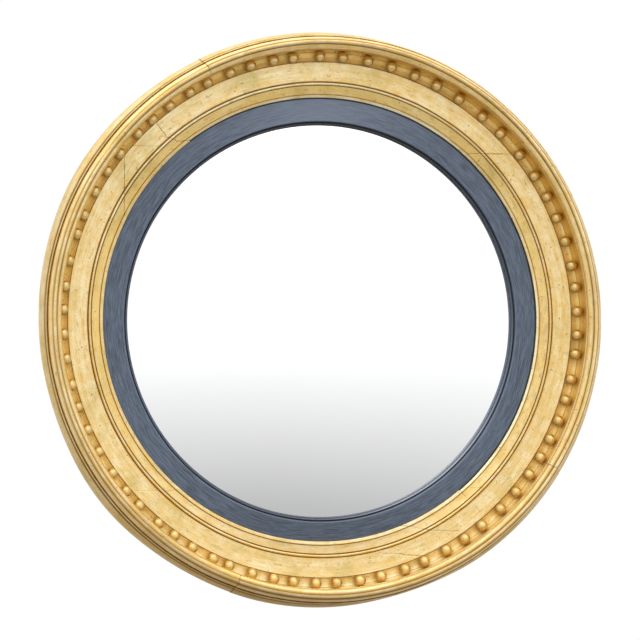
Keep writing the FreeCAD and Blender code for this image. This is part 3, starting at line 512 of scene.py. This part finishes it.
FRIEZE_BOARDS = {  # the CAD node, and the turn of the middle of the board
    "frieze_board_top": ("frieze_top_rail", 0.5),
    "frieze_board_left": ("frieze_left_stile", 1.0),
    "frieze_board_bottom": ("frieze_bottom_rail", 1.5),
    "frieze_board_right": ("frieze_right_stile", 2.0),
}
for name, (node, turn) in FRIEZE_BOARDS.items():
    radius, height, across = grid(frieze_rows, frieze_across, stations)
    upright = turn in (1.0, 2.0)
    joint_angle = np.arcsin(FRIEZE_JOINT_LEVEL / radius)
    half_span = joint_angle if upright else np.pi / 2.0 - joint_angle
    angle = turn * np.pi + (2.0 * stations[None, :] - 1.0) * half_span
    face = (height > FACE_FROM_HEIGHT) & (radius < FACE_TO_RADIUS)
    beside, opened = cracks(radius * np.cos(angle), radius * np.sin(angle), FRIEZE_CRACKS)
    waver = 0.00010 * lumps(angle, across, 90, 0.02, 11) + 0.00006 * lumps(angle, across, 420, 0.004, 12)
    groove = CRACK_DEPTH * opened * hump(beside, 0.0, 0.7)
    height = height + np.where(face, waver - FACE_SUNK - groove, 0.0)
    from_step = np.mod(angle - SIGHT_STEP_FROM, 2.0 * np.pi)
    cut_back = (from_step < SIGHT_STEP_TO - SIGHT_STEP_FROM) * ramp(SIGHT_FILLET_EDGE - radius, 0.003)
    radius = radius + SIGHT_STEP * cut_back
    radius = radius + np.where(face, 0.00012 * lumps(angle, across * 0.0, 60, 1.0, 13), 0.0)
    board = ring_piece(name, radius, height, angle, gilt)

    # which part of the face each point is on
    near_ball = from_balls(angle) * BALL_CIRCLE
    on_fillet = hump(radius, SIGHT_FILLET_AT, SIGHT_FILLET_REACH)
    on_narrow = (radius > NARROW_FROM) & (radius < NARROW_TO)
    on_bead = hump(radius, STEP_BEAD_AT, STEP_BEAD_REACH)
    in_hollow = ramp(radius - HOLLOW_FROM, 0.001)
    on_wide = ramp(radius - WIDE_FROM, 0.002) * (1.0 - in_hollow)
    between_balls = 1.0 - hump(near_ball, 0.0, 0.0085)

    # brown in the turned lines, partly the gilding's tone and partly painted shade; painted shade in the
    # hollow beside the balls; and brown low on the inner bands
    toning = sum(depth * hump(radius, line, LINE_WIDTH) for line, depth in FRIEZE_LINES)
    toning = toning + 0.10 * in_hollow * hump(near_ball, 0.0, 0.0050)
    toning = toning + (0.22 * on_narrow + 0.28 * on_fillet) * angle_hump(angle, *FILLET_TONED)
    toning = toning + 0.25 * on_narrow * angle_hump(angle, *NARROW_TONED)

    # a dark, strong gold as painted shade in the hollow, most at the upper left, and beside the turned lines;
    # and a painted shadow and reflection of each ball in the hollow, strongest at the lower right
    ball_stain = (0.25 + 0.40 * angle_hump(angle, *HOLLOW_STAINED)) * hump(near_ball, 0.0, 0.0072)
    deep = in_hollow * (0.35 * angle_hump(angle, *HOLLOW_SHADED) + ball_stain)
    deep = deep + 0.3 * sum(hump(radius, line, 0.0011) for line, _ in FRIEZE_LINES)

    # paleness: paler leaf on the wide frieze, most at the upper left, and low on the narrow frieze; painted
    # highlights on the step bead, brightest at the top, and on the sight fillet; painted light in the hollow
    # between the balls, most at the bottom
    pale = 0.50 + on_wide * (0.33 + 0.25 * angle_hump(angle, *WIDE_PALE))
    pale = pale + on_bead * (0.2 + 2.3 * angle_hump(angle, *STEP_BEAD_BRIGHT))
    pale = pale + on_fillet * (0.3 + 1.3 * angle_hump(angle, *FILLET_PALE[0]))
    pale = pale + on_fillet * angle_hump(angle, *FILLET_PALE[1])
    pale = pale + 0.45 * on_narrow * angle_hump(angle, *NARROW_PALE)
    pale = pale + in_hollow * (0.1 + 1.4 * angle_hump(angle, *HOLLOW_PALE)) * between_balls

    # leaf worn to the bole
    thin_leaf = np.clip(0.4 + lumps(angle, across, 260, 0.003, 15), 0.0, 1.0)
    rub = 0.25 * np.clip(lumps(angle, across, 140, 0.003, 14) - 0.45, 0.0, 1.0)
    rub = rub + 0.7 * on_narrow * thin_leaf * angle_hump(angle, *NARROW_WORN)

    # matt leaf, mixed towards a brighter gold as painted light, in the hollow and on the narrow frieze except
    # low down
    dull = in_hollow + 0.5 * on_narrow * (1.0 - angle_hump(angle, *NARROW_PALE))
    paint(board, across=across, toning=np.clip(toning, 0.0, 1.0), deep=np.clip(deep, 0.0, 1.0), pale=pale)
    paint(board, rub=rub, dull=dull, crack_side=beside, crack_open=opened)
    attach(board, "frame")
    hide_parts(node)

# --- outer moulding: lengths of reeded moulding, gilded and glued round the frieze ring. The inner lip
# overhangs the hollow, three reeds crown it, and a swelled side falls to the back. ---

MOULDING_FINE = 0.00085
MOULDING_SECTION = (
    (0.28380, 0.02020, 0.0),
    (0.28380, 0.04049, 0.0),
    (0.28680, 0.04649, -0.00079),
    (0.28340, 0.06369, -0.00085),
    (0.28470, 0.06599, 0.00079),
    (0.28870, 0.07339, 0.00303),
    (0.29320, 0.07439, 0.00194),
    (0.29720, 0.06489, 0.00103),
    (0.29765, 0.06274, 0.0),
    (0.29810, 0.06444, 0.0),
    (0.29950, 0.06444, 0.0),
    (0.29950, 0.06164, 0.0),
    (0.29810, 0.06119, 0.0),
    (0.29950, 0.06074, 0.0),
    (0.30090, 0.03674, 0.00430),
    (0.29850, 0.03584, 0.0),
    (0.29850, 0.02020, 0.0),
)
MOULDING_VALLEYS = (  # radius, height, and depth of brown, partly the gilding's tone and partly painted shade
    (0.2847, 0.0660, 1.0),
    (0.2887, 0.0734, 1.2),
    (0.2932, 0.0744, 1.2),
    (0.29765, 0.0628, 1.0),
    (0.2998, 0.0603, 1.0),
)
MOULDING_CRESTS = (  # radius and height
    (0.2837, 0.0652),
    (0.2860, 0.0722),
    (0.2908, 0.0757),
    (0.2958, 0.0705),
    (0.2989, 0.0645),
)
MOULDING_RUN = 0.292  # the radius at which its length is measured
LIP_TO_RADIUS = 0.2875
LIP_BEAD_HEIGHT = 0.0640
LIP_FOOT = 0.0637  # the wall of the hollow is under this height
INNER_REED_AT = (0.2862, 0.0706)
OUTER_REEDS_FROM = 0.2885
REEDS_FOOT = 0.0615
SIDE_FROM_RADIUS = 0.2985
SIDE_TOP = 0.0612
SIDE_BULGES = (  # middle and width in degrees, and how far the warped side stands out or back
    (62.0, 24.0, -0.0026),
    (150.0, 18.0, 0.0024),
    (181.0, 11.0, 0.0003),
    (219.0, 13.0, 0.0024),
    (255.0, 9.0, 0.0006),
    (286.0, 13.0, -0.0024),
)
MOULDING_GAP = math.radians(0.006)
MOULDING_LENGTHS = {  # the CAD node, where the length starts and ends, and how far in and back it was glued
    "moulding_length_top": ("outer_moulding_top", 42.0, 117.0, 0.0, 0.0),
    "moulding_length_left": ("outer_moulding_left", 117.0, 250.0, 0.0004, 0.0004),
    "moulding_length_bottom": ("outer_moulding_bottom", 250.0, 327.0, 0.0, 0.0001),
    "moulding_length_right": ("outer_moulding_right", 327.0, 402.0, 0.0003, 0.0),
}
CRESTS_RUBBED = (  # middle and width in degrees, and how far the leaf is worn
    (88.0, 30.0, 0.9),
    (5.0, 8.0, 0.8),
    (185.0, 8.0, 0.6),
    (230.0, 22.0, 0.7),
    (290.0, 38.0, 0.8),
)
INNER_REED_SHADED = (65.0, 75.0)
OUTER_REEDS_TONED = (262.0, 34.0)
REEDS_CLEAR = (0.0, 30.0)
LIP_SHADED = ((85.0, 75.0), (205.0, 50.0))
WALL_SHADED = (40.0, 60.0)
SIDE_TONED = (265.0, 40.0)
SIDE_PALE = (170.0, 45.0)

moulding_rows = section_points(MOULDING_SECTION, MOULDING_FINE)
moulding_across = walked(moulding_rows) + 0.1  # so that its streaks aren't the frieze's
for name, (node, start, end, inward, backward) in MOULDING_LENGTHS.items():
    run = math.radians(end - start) * MOULDING_RUN
    stations = np.linspace(0.0, 1.0, math.ceil(run / MOULDING_FINE))
    angle = np.radians(start) + MOULDING_GAP / 2.0 + stations * (np.radians(end - start) - MOULDING_GAP)
    angle = np.repeat(angle[None, :], len(moulding_rows), axis=0)
    radius, height, across = grid(moulding_rows, moulding_across, stations)
    shown = (height > 0.021) & ((radius > 0.2839) | (height > 0.041))
    waver = 0.00012 * lumps(angle, across, 80, 0.012, 21) + 0.00006 * lumps(angle, across, 400, 0.004, 22)
    sway = 0.00014 * lumps(angle, across * 0.0, 50, 1.0, 23) - 0.00014 - inward
    warp = sum(proud * angle_hump(angle, middle, width) for middle, width, proud in SIDE_BULGES)
    bulge = warp * (radius > SIDE_FROM_RADIUS) * ramp(SIDE_TOP - height, 0.006)
    height = height + np.where(shown, waver - FACE_SUNK - backward, 0.0)
    radius = radius + np.where(shown, sway + bulge, 0.0)
    length = ring_piece(name, radius, height, angle, gilt)

    # which part of the moulding each point is on
    near_ball = from_balls(angle) * 0.284
    in_hollow = ramp(LIP_FOOT - height, 0.002) * (radius < LIP_TO_RADIUS)
    on_lip = hump(height, LIP_BEAD_HEIGHT, 0.0035) * (radius < LIP_TO_RADIUS)
    on_side = (radius > SIDE_FROM_RADIUS) & (height < SIDE_TOP)
    inner_reed = hump(np.hypot(radius - INNER_REED_AT[0], height - INNER_REED_AT[1]), 0.0, 0.0026)
    outer_reeds = ramp(radius - OUTER_REEDS_FROM, 0.001) * (height > REEDS_FOOT)
    off_crest = np.min([np.hypot(radius - line, height - level) for line, level in MOULDING_CRESTS], 0)
    near_crest = hump(off_crest, 0.0, 0.0012)
    off_end = np.minimum(stations, 1.0 - stations)[None, :] * run

    # a brown tone in the joints; brown in the valleys, partly the gilding's tone and partly painted shade;
    # and brown as painted shade on the side and low on the reeds, most at the bottom
    toning = 0.10 * hump(off_end, 0.0, 0.0005)
    for line, level, depth in MOULDING_VALLEYS:
        toning = toning + depth * hump(np.hypot(radius - line, height - level), 0.0, 0.0011)
    toning = toning + on_side * (0.26 + 0.45 * angle_hump(angle, *SIDE_TONED))
    toning = toning + 0.50 * outer_reeds * angle_hump(angle, *OUTER_REEDS_TONED)

    # leaf worn to the bole on the crests; painted highlights along the crests, painted light in the hollow at
    # the bottom, and the side paler at the left than elsewhere
    rubbed = sum(depth * angle_hump(angle, middle, width) for middle, width, depth in CRESTS_RUBBED)
    rub = near_crest * rubbed * np.clip(0.6 + 0.8 * lumps(angle, across, 200, 0.004, 24), 0.0, 1.0)
    pale = 0.65 + 1.10 * hump(off_crest, 0.0, 0.0007) * (1.0 - 0.5 * rubbed)
    pale = pale + 0.6 * in_hollow * angle_hump(angle, *HOLLOW_PALE)
    pale = pale + on_side * (0.5 * angle_hump(angle, *SIDE_PALE) - 0.25)

    # deep gold in shade: under the lip, on the wall of the hollow and between the crests
    lip_deep = 0.95 * angle_hump(angle, *LIP_SHADED[0]) + 0.60 * angle_hump(angle, *LIP_SHADED[1])
    wall_deep = 0.20 + 0.65 * angle_hump(angle, *WALL_SHADED) + 0.30 * hump(near_ball, 0.0, 0.005)
    between = (1.0 - near_crest) * (1.0 - in_hollow) * (1.0 - on_side)
    reeds_deep = 0.26 * between * (1.0 - 0.7 * angle_hump(angle, *REEDS_CLEAR))
    deep = in_hollow * wall_deep + on_lip * lip_deep + reeds_deep

    # matt leaf, mixed towards a brighter gold as painted light, in the hollow and on the inner reed where it
    # is shaded
    dull = in_hollow + 0.7 * inner_reed * angle_hump(angle, *INNER_REED_SHADED)
    paint(length, across=across, toning=np.clip(toning, 0.0, 1.0), deep=np.clip(deep, 0.0, 1.0), pale=pale)
    paint(length, rub=np.clip(rub, 0.0, 1.0), dull=np.clip(dull, 0.0, 1.0))
    paint(length, crack_side=np.full(angle.shape, 1000.0 * CRACK_REACH), crack_open=np.zeros(angle.shape))
    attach(length, "frame")
    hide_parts(node)

# --- gilt balls: turned wooden balls, each with its peg, gilded and set by eye in the hollow. ---

BALL_RADIUS = 0.0060
BALL_PEG_RADIUS = 0.0014
BALL_PEG_END = -0.01405
BALL_ROWS = 15
BALL_SIDES = 24
BALL_LEAF = ((0.78, 0.57, 0.22, 1.0), (0.62, 0.43, 0.14, 1.0))
# a painted highlight for each ball's crown, and brown painted shade for its back
BALL_CAP_LEAF = (0.97, 0.82, 0.50, 1.0)
BALL_FOOT_STAIN = (0.36, 0.17, 0.03, 1.0)


def turned_balls(name, material):
    """Every ball at once: a profile of (distance from its own axis, height over its centre), a round that
    runs into a peg, is turned about the ball's axis and set at the ball's place on the ring. A little is
    taken off each ball at random, and each is slightly out of round."""
    chance = np.random.default_rng(31)
    shrink = chance.uniform(0.965, 0.995, len(ball_angles))
    squash = chance.uniform(-0.02, 0.02, len(ball_angles))
    last = np.pi - math.asin(BALL_PEG_RADIUS / BALL_RADIUS)
    sweep = np.linspace(0.0, last, BALL_ROWS)
    reach = np.concatenate((BALL_RADIUS * np.sin(sweep), (BALL_PEG_RADIUS, 0.0)))
    rise = np.concatenate((BALL_RADIUS * np.cos(sweep), (BALL_PEG_END, BALL_PEG_END)))
    spin = np.arange(BALL_SIDES) / BALL_SIDES * 2.0 * np.pi
    size = shrink[:, None, None]
    oval = 1.0 + squash[:, None, None] * np.cos(2.0 * spin)[None, None, :]
    along = size * oval * reach[None, :, None] * np.cos(spin)[None, None, :]
    outward = size * oval * reach[None, :, None] * np.sin(spin)[None, None, :]
    up = size * rise[None, :, None] + 0.0 * spin[None, None, :]
    turn = ball_angles[:, None, None]
    distance = ball_middle + outward
    points = np.stack(
        [
            distance * np.cos(turn) - along * np.sin(turn),
            -(ball_height + up),
            distance * np.sin(turn) + along * np.cos(turn),
        ],
        axis=-1,
    )
    index = np.arange(points[..., 0].size).reshape(points.shape[:3])
    here, beyond = index[:, :-1], index[:, 1:]
    quads = np.stack([here, np.roll(here, -1, axis=2), np.roll(beyond, -1, axis=2), beyond], axis=-1)
    piece = smooth_mesh(name, points.reshape(-1, 3), [quads.reshape(-1, 4)], material)
    close_poles(piece)
    return piece


def close_poles(piece):
    """Joins the points that meet at the poles of a turned shape, and turns its faces outward."""
    shape = bmesh.new()
    shape.from_mesh(piece.data)
    bmesh.ops.remove_doubles(shape, verts=shape.verts, dist=1e-6)
    bmesh.ops.recalc_face_normals(shape, faces=shape.faces)
    shape.to_mesh(piece.data)
    shape.free()


def ball_gilding():
    """Gilding on the balls: a painted highlight on each ball's crown, and brown painted shade over the back
    of each ball, where it sits in the hollow.
    """
    material = new_material("ball_gilding")
    tree = material.node_tree
    place = put(tree, "ShaderNodeTexCoord", output="Object")
    blotches = noise(tree, place, 160.0, 3.0)
    grain = noise(tree, place, 1100.0, 3.0, 0.7)
    level = math_node(tree, "MULTIPLY", put(tree, "ShaderNodeSeparateXYZ", {0: place}, "Y"), -1.0)
    # brown painted shade over the back of each ball, and a painted highlight on its crown
    foot = remap(tree, level, 0.0410, 0.0498, 0.95, 0.0)
    leaf = mixed(tree, remap(tree, blotches, 0.35, 0.65), *BALL_LEAF)
    leaf = mixed(tree, remap(tree, level, 0.0495, 0.0512, 0.0, 0.4), leaf, BALL_CAP_LEAF)
    leaf = mixed(tree, foot, leaf, BALL_FOOT_STAIN)
    gloss = remap(tree, grain, 0.3, 0.7, 0.30, 0.44)
    bump = put(tree, "ShaderNodeBump", {"Height": grain, "Distance": 0.0001, "Strength": 0.5})
    surface(tree, {"Base Color": leaf, "Metallic": 0.9, "Roughness": gloss, "Normal": bump})
    return material


ball_radii = np.hypot(ball_points[:, 0], ball_points[:, 2])
ball_middle = (ball_radii.min() + ball_radii.max()) / 2.0
ball_height = -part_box("gilt_balls")[0].y - BALL_RADIUS
balls = turned_balls("gilt_ball_ring", ball_gilding())
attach(balls, "frame")
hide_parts("gilt_balls")

# --- slip: a flat wooden ring, ebonised, that holds the glass in its rebate. An arris, a quirk and a small bead
# run round its sight edge, with a painted highlight on the arris and painted shade in the quirk. ---

SLIP_FINE = 0.0011
SLIP_SECTION = (
    (0.22350, 0.01367, 0.0),
    (0.22350, 0.02430, 0.0),
    (0.21060, 0.02430, 0.0),
    (0.21060, 0.02640, 0.0),
    (0.21200, 0.02790, 0.00062),
    (0.21260, 0.02670, 0.0),
    (0.21380, 0.03090, 0.0),
    (0.23590, 0.03000, 0.0),
    (0.24000, 0.03000, 0.0),
    (0.24000, 0.01367, 0.0),
)
SLIP_RUN = 1.47  # its length round
SLIP_OPENING_DROP = 0.0016  # its opening sits this far below the middle of the frame
SLIP_ARRIS_AT = 0.2140
SLIP_QUIRK_AT = 0.2127
SLIP_BEAD_AT = 0.2113
SLIP_BEAD_TO = 0.2129
ARRIS_LIT = (290.0, 60.0)
BEAD_LIT = (305.0, 38.0)
BEAD_SHADED = (80.0, 62.0)
FACE_LIT = (92.0, 24.0)
FACE_SHADED = (268.0, 30.0)
EBONY_DARK = (0.039, 0.053, 0.080, 1.0)
EBONY_LIGHT = (0.116, 0.155, 0.220, 1.0)
# the next three: paler dust and a painted sheen, a painted glint, and black for painted shade
EBONY_RUBBED = (0.25, 0.295, 0.39, 1.0)
EBONY_WORN = (0.62, 0.66, 0.72, 1.0)
EBONY_BLACK = (0.004, 0.004, 0.005, 1.0)


def ebonised():
    """Blue-black stain and wax over wood, with paler streaks round the ring where it was rubbed back, paler
    dust, and
    painted light and shade: a painted highlight that runs from none at 0 over a painted sheen at 1 to a
    painted glint at 2, and painted shade that darkens it towards black."""
    material = new_material("ebonised_wood")
    tree = material.node_tree
    place = put(tree, "ShaderNodeTexCoord", output="Object")
    streaks = noise(tree, round_the_frame(tree, 14.0, 900.0), 1.0, 5.0, 0.65)
    bands = noise(tree, round_the_frame(tree, 3.0, 160.0), 1.0, 3.0)
    dust = noise(tree, place, 420.0, 4.0, 0.7)
    colour = mixed(tree, remap(tree, streaks, 0.36, 0.64), EBONY_DARK, EBONY_LIGHT)
    colour = mixed(tree, remap(tree, bands, 0.35, 0.75, 0.0, 0.4), colour, EBONY_LIGHT)
    colour = mixed(tree, remap(tree, dust, 0.62, 0.75, 0.0, 0.5), colour, EBONY_RUBBED)
    colour = mixed(tree, remap(tree, painted(tree, "rub"), 0.0, 1.0, smooth=False), colour, EBONY_RUBBED)
    colour = mixed(tree, remap(tree, painted(tree, "rub"), 1.0, 2.0, smooth=False), colour, EBONY_WORN)
    colour = mixed(tree, painted(tree, "toning"), colour, EBONY_BLACK)
    gloss = remap(tree, streaks, 0.3, 0.7, 0.42, 0.56)
    bump = put(tree, "ShaderNodeBump", {"Height": streaks, "Distance": 0.00012, "Strength": 0.5})
    surface(tree, {"Base Color": colour, "Roughness": gloss, "IOR": 1.5, "Normal": bump})
    return material


slip_rows = section_points(SLIP_SECTION, SLIP_FINE)
turns = np.linspace(0.0, 2.0 * np.pi, math.ceil(SLIP_RUN / SLIP_FINE), endpoint=False)
radius, height, across = grid(slip_rows, walked(slip_rows), turns)
angle = np.repeat(turns[None, :], len(slip_rows), axis=0)
face = (height > 0.0262) & (radius < 0.2358)
height = height + np.where(face, 0.00008 * lumps(angle, across, 70, 0.01, 41) - 0.00008, 0.0)
in_the_opening = ramp(0.2355 - radius, 0.020) * (radius < 0.2359)
moved = radius - SLIP_OPENING_DROP * in_the_opening * np.sin(angle)
slip = ring_piece("slip_ring", moved, height, angle, ebonised(), whole_turn=True)
# painted shade in the gap where the sight edge is cut back, in the quirk, over the bead and on the face at
# the bottom; painted highlights on the arris, a painted glint on the bead and a painted sheen on the face at
# the top
from_step = np.mod(angle - SIGHT_STEP_FROM, 2.0 * np.pi)
gap_shade = (from_step < SIGHT_STEP_TO - SIGHT_STEP_FROM) * ramp(radius - 0.2350, 0.0008)
dark_quirk = hump(radius, SLIP_QUIRK_AT, 0.0006)
dark_bead = (radius < SLIP_BEAD_TO) * (0.2 + 0.75 * angle_hump(angle, *BEAD_SHADED))
toning = dark_quirk + gap_shade + dark_bead + 0.28 * angle_hump(angle, *FACE_SHADED)
light_arris = hump(radius, SLIP_ARRIS_AT, 0.0007) * (0.2 + 0.6 * angle_hump(angle, *ARRIS_LIT))
light_bead = 3.0 * hump(radius, SLIP_BEAD_AT, 0.0008) * angle_hump(angle, *BEAD_LIT)
rub = light_arris + light_bead + 0.45 * angle_hump(angle, *FACE_LIT)
paint(slip, across=across, toning=np.clip(toning, 0.0, 1.0), rub=np.clip(rub, 0.0, 2.0))
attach(slip, "frame")
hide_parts("ebonised_slip")

# --- mirror plate: one disc of glass, bent to a shallow dome and silvered behind. ---

PLATE_RIM_RADIUS = 0.222
PLATE_FRONT_CURVE = 0.745
PLATE_BACK_CURVE = 0.7415
PLATE_CROWN = 0.054586
PLATE_RINGS = 70
PLATE_SIDES = 360
SILVER_CLEAN = (0.97, 0.975, 0.975, 1.0)
SILVER_BLOOM = (0.94, 0.945, 0.945, 1.0)
SILVER_FOXED = (0.35, 0.33, 0.30, 1.0)


def domed_plate(name, material):
    """A dome on a circle: the height at distance q from the axis is crown - curve + sqrt(curve^2 - q^2), for
    the front and, one glass thickness behind it, for the back. The two meet in an upright edge."""
    reach = np.linspace(0.0, PLATE_RIM_RADIUS, PLATE_RINGS)
    front = PLATE_CROWN - PLATE_FRONT_CURVE + np.sqrt(PLATE_FRONT_CURVE**2 - reach**2)
    back = PLATE_CROWN - PLATE_FRONT_CURVE + np.sqrt(PLATE_BACK_CURVE**2 - reach**2)
    out_and_back = np.concatenate((reach, reach[::-1]))
    levels = np.concatenate((front, back[::-1]))
    turns = np.arange(PLATE_SIDES) / PLATE_SIDES * 2.0 * np.pi
    radius = np.repeat(out_and_back[:, None], PLATE_SIDES, axis=1)
    height = np.repeat(levels[:, None], PLATE_SIDES, axis=1)
    angle = np.repeat(turns[None, :], len(levels), axis=0)
    points = np.stack([radius * np.cos(angle), -height, radius * np.sin(angle)], axis=-1).reshape(-1, 3)
    index = np.arange(radius.size).reshape(radius.shape)
    here, beyond = index[:-1], index[1:]
    quads = np.stack([here, beyond, np.roll(beyond, -1, axis=1), np.roll(here, -1, axis=1)], axis=-1)
    piece = smooth_mesh(name, points, [quads.reshape(-1, 4)], material)
    close_poles(piece)
    return piece


def silvering():
    """Silvered glass: a clean mirror with a faint grey bloom and a few foxed specks."""
    material = new_material("silvered_glass")
    tree = material.node_tree
    place = put(tree, "ShaderNodeTexCoord", output="Object")
    bloom = noise(tree, place, 9.0, 3.0)
    specks = noise(tree, place, 620.0, 2.0)
    colour = mixed(tree, remap(tree, bloom, 0.3, 0.7, 0.0, 0.3), SILVER_CLEAN, SILVER_BLOOM)
    colour = mixed(tree, remap(tree, specks, 0.78, 0.84), colour, SILVER_FOXED)
    gloss = remap(tree, bloom, 0.3, 0.7, 0.010, 0.030)
    surface(tree, {"Base Color": colour, "Metallic": 1.0, "Roughness": gloss})
    return material


plate = domed_plate("convex_plate", silvering())
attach(plate, "frame")
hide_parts("mirror_plate")

# --- back ring, backboards and blocks: pine boards, browned with age. The grain runs along each board, and
# each board has its own tone. ---

PINE_LIGHT = (0.36, 0.23, 0.12, 1.0)
PINE_DARK = (0.22, 0.125, 0.06, 1.0)
PINE_DIRT = (0.08, 0.052, 0.030, 1.0)


def pine(name, upright, offset, dirt, tone):
    """Old pine: yearly rings drawn out along the board, fine pores, and dirt in patches."""
    material = new_material(name)
    tree = material.node_tree
    place = put(tree, "ShaderNodeTexCoord", output="Object")
    long_way, short_way = (1.0, 14.0) if upright else (14.0, 1.0)
    stretch = {"Vector": place, "Location": offset, "Scale": (short_way, 10.0, long_way)}
    drawn = put(tree, "ShaderNodeMapping", stretch)
    sway = noise(tree, drawn, 1.6, 3.0)
    rings = math_node(tree, "SINE", math_node(tree, "MULTIPLY", sway, 110.0))
    finer = put(tree, "ShaderNodeVectorMath", {0: drawn, "Scale": 30.0}, operation="SCALE")
    pores = noise(tree, finer, 1.0, 4.0)
    dirty = noise(tree, place, 14.0, 5.0, 0.6)
    colour = mixed(tree, remap(tree, rings, -0.4, 1.0, 0.0, 0.7), PINE_LIGHT, PINE_DARK)
    colour = put(tree, "ShaderNodeVectorMath", {0: colour, "Scale": tone}, operation="SCALE")
    colour = mixed(tree, remap(tree, pores, 0.45, 0.7, 0.0, 0.6), colour, PINE_DARK)
    colour = mixed(tree, remap(tree, dirty, 0.45, 0.75, 0.0, dirt), colour, PINE_DIRT)
    gloss = remap(tree, pores, 0.3, 0.7, 0.62, 0.85)
    relief = math_node(tree, "ADD", rings, math_node(tree, "MULTIPLY", pores, 2.0))
    bump = put(tree, "ShaderNodeBump", {"Height": relief, "Distance": 0.0003, "Strength": 0.4})
    surface(tree, {"Base Color": colour, "Roughness": gloss, "Normal": bump})
    return material


def finish_node(name, material):
    """Gives a carried-over node its material."""
    mesh = nodes[name].data
    mesh.materials.clear()
    mesh.materials.append(material)


PINE_BOARDS = {  # whether the grain runs upright, how dirty the board is, and its tone
    "back_ring_left_stile": (True, 0.7, 0.92),
    "back_ring_right_stile": (True, 0.7, 1.00),
    "back_ring_top_rail": (False, 0.7, 1.08),
    "back_ring_bottom_rail": (False, 0.7, 0.92),
    "glass_blocks": (True, 0.3, 1.00),
}
BACKBOARD_TONES = {"backboard_left": 1.04, "backboard_middle": 0.88, "backboard_right": 1.04}
for number, (name, (upright, dirt, tone)) in enumerate(PINE_BOARDS.items()):
    offset = (3.1 * number, 0.7, 1.9 * number)
    finish_node(name, pine(name + "_pine", upright, offset, dirt, tone))
for number, (name, tone) in enumerate(BACKBOARD_TONES.items()):
    offset = (7.3 + 2.2 * number, 0.1, 4.4 * number)
    finish_node(name, pine(name + "_pine", True, offset, 0.9, tone))

# --- dowels: beech pegs across the joints, hidden in the wood. ---

BEECH_LIGHT = (0.62, 0.42, 0.25, 1.0)
BEECH_DARK = (0.50, 0.31, 0.17, 1.0)
BEECH_FLECK = (0.28, 0.15, 0.07, 1.0)


def beech():
    """Turned beech: pale, with short dark flecks."""
    material = new_material("dowel_beech")
    tree = material.node_tree
    place = put(tree, "ShaderNodeTexCoord", output="Object")
    flecks = noise(tree, place, 800.0, 2.0)
    tone = noise(tree, place, 60.0, 3.0)
    colour = mixed(tree, remap(tree, tone, 0.3, 0.7), BEECH_LIGHT, BEECH_DARK)
    colour = mixed(tree, remap(tree, flecks, 0.6, 0.75), colour, BEECH_FLECK)
    gloss = remap(tree, tone, 0.3, 0.7, 0.5, 0.65)
    bump = put(tree, "ShaderNodeBump", {"Height": flecks, "Distance": 0.0001, "Strength": 0.4})
    surface(tree, {"Base Color": colour, "Roughness": gloss, "Normal": bump})
    return material


dowel_beech = beech()
for name in ("back_ring_dowels", "frieze_dowels"):
    finish_node(name, dowel_beech)

# --- screws and pins: slotted steel screws, darkened, with rust in patches. ---

STEEL_DARK = (0.24, 0.23, 0.22, 1.0)
STEEL_BRIGHT = (0.36, 0.35, 0.33, 1.0)
RUST = (0.16, 0.065, 0.025, 1.0)


def old_steel():
    """Dark steel with rust bloom and bright rubs."""
    material = new_material("steel")
    tree = material.node_tree
    place = put(tree, "ShaderNodeTexCoord", output="Object")
    rust = noise(tree, place, 380.0, 5.0, 0.65)
    scratches = noise(tree, place, 1500.0, 2.0)
    colour = mixed(tree, remap(tree, scratches, 0.3, 0.7), STEEL_DARK, STEEL_BRIGHT)
    rusted = remap(tree, rust, 0.50, 0.66)
    colour = mixed(tree, rusted, colour, RUST)
    metal = remap(tree, rusted, 0.0, 1.0, 0.95, 0.1, smooth=False)
    gloss = remap(tree, rusted, 0.0, 1.0, 0.38, 0.85, smooth=False)
    bump = put(tree, "ShaderNodeBump", {"Height": rust, "Distance": 0.0002, "Strength": 0.5})
    surface(tree, {"Base Color": colour, "Metallic": metal, "Roughness": gloss, "Normal": bump})
    return material


steel = old_steel()
for name in ("backboard_screws", "layer_screws", "hanger_screws", "slip_pins"):
    finish_node(name, steel)

# --- hangers: a brass strap let into each upper side of the back, and a ring that swings in its knuckle. ---

BRASS_LIGHT = (0.62, 0.42, 0.15, 1.0)
BRASS_BROWN = (0.30, 0.18, 0.06, 1.0)
BRASS_RUBBED = (0.80, 0.62, 0.30, 1.0)


def old_brass():
    """Brass gone brown, with brighter metal where hooks and fingers have rubbed it."""
    material = new_material("brass")
    tree = material.node_tree
    place = put(tree, "ShaderNodeTexCoord", output="Object")
    cloud = noise(tree, place, 130.0, 4.0, 0.6)
    scratches = noise(tree, place, 1400.0, 3.0, 0.7)
    colour = mixed(tree, remap(tree, cloud, 0.35, 0.65), BRASS_LIGHT, BRASS_BROWN)
    colour = mixed(tree, remap(tree, scratches, 0.6, 0.8, 0.0, 0.5), colour, BRASS_RUBBED)
    gloss = remap(tree, cloud, 0.3, 0.7, 0.28, 0.48)
    bump = put(tree, "ShaderNodeBump", {"Height": scratches, "Distance": 0.0001, "Strength": 0.3})
    surface(tree, {"Base Color": colour, "Metallic": 1.0, "Roughness": gloss, "Normal": bump})
    return material


brass = old_brass()
for name in ("hanger_strap_left", "hanger_strap_right", "hanger_ring_left", "hanger_ring_right"):
    finish_node(name, brass)
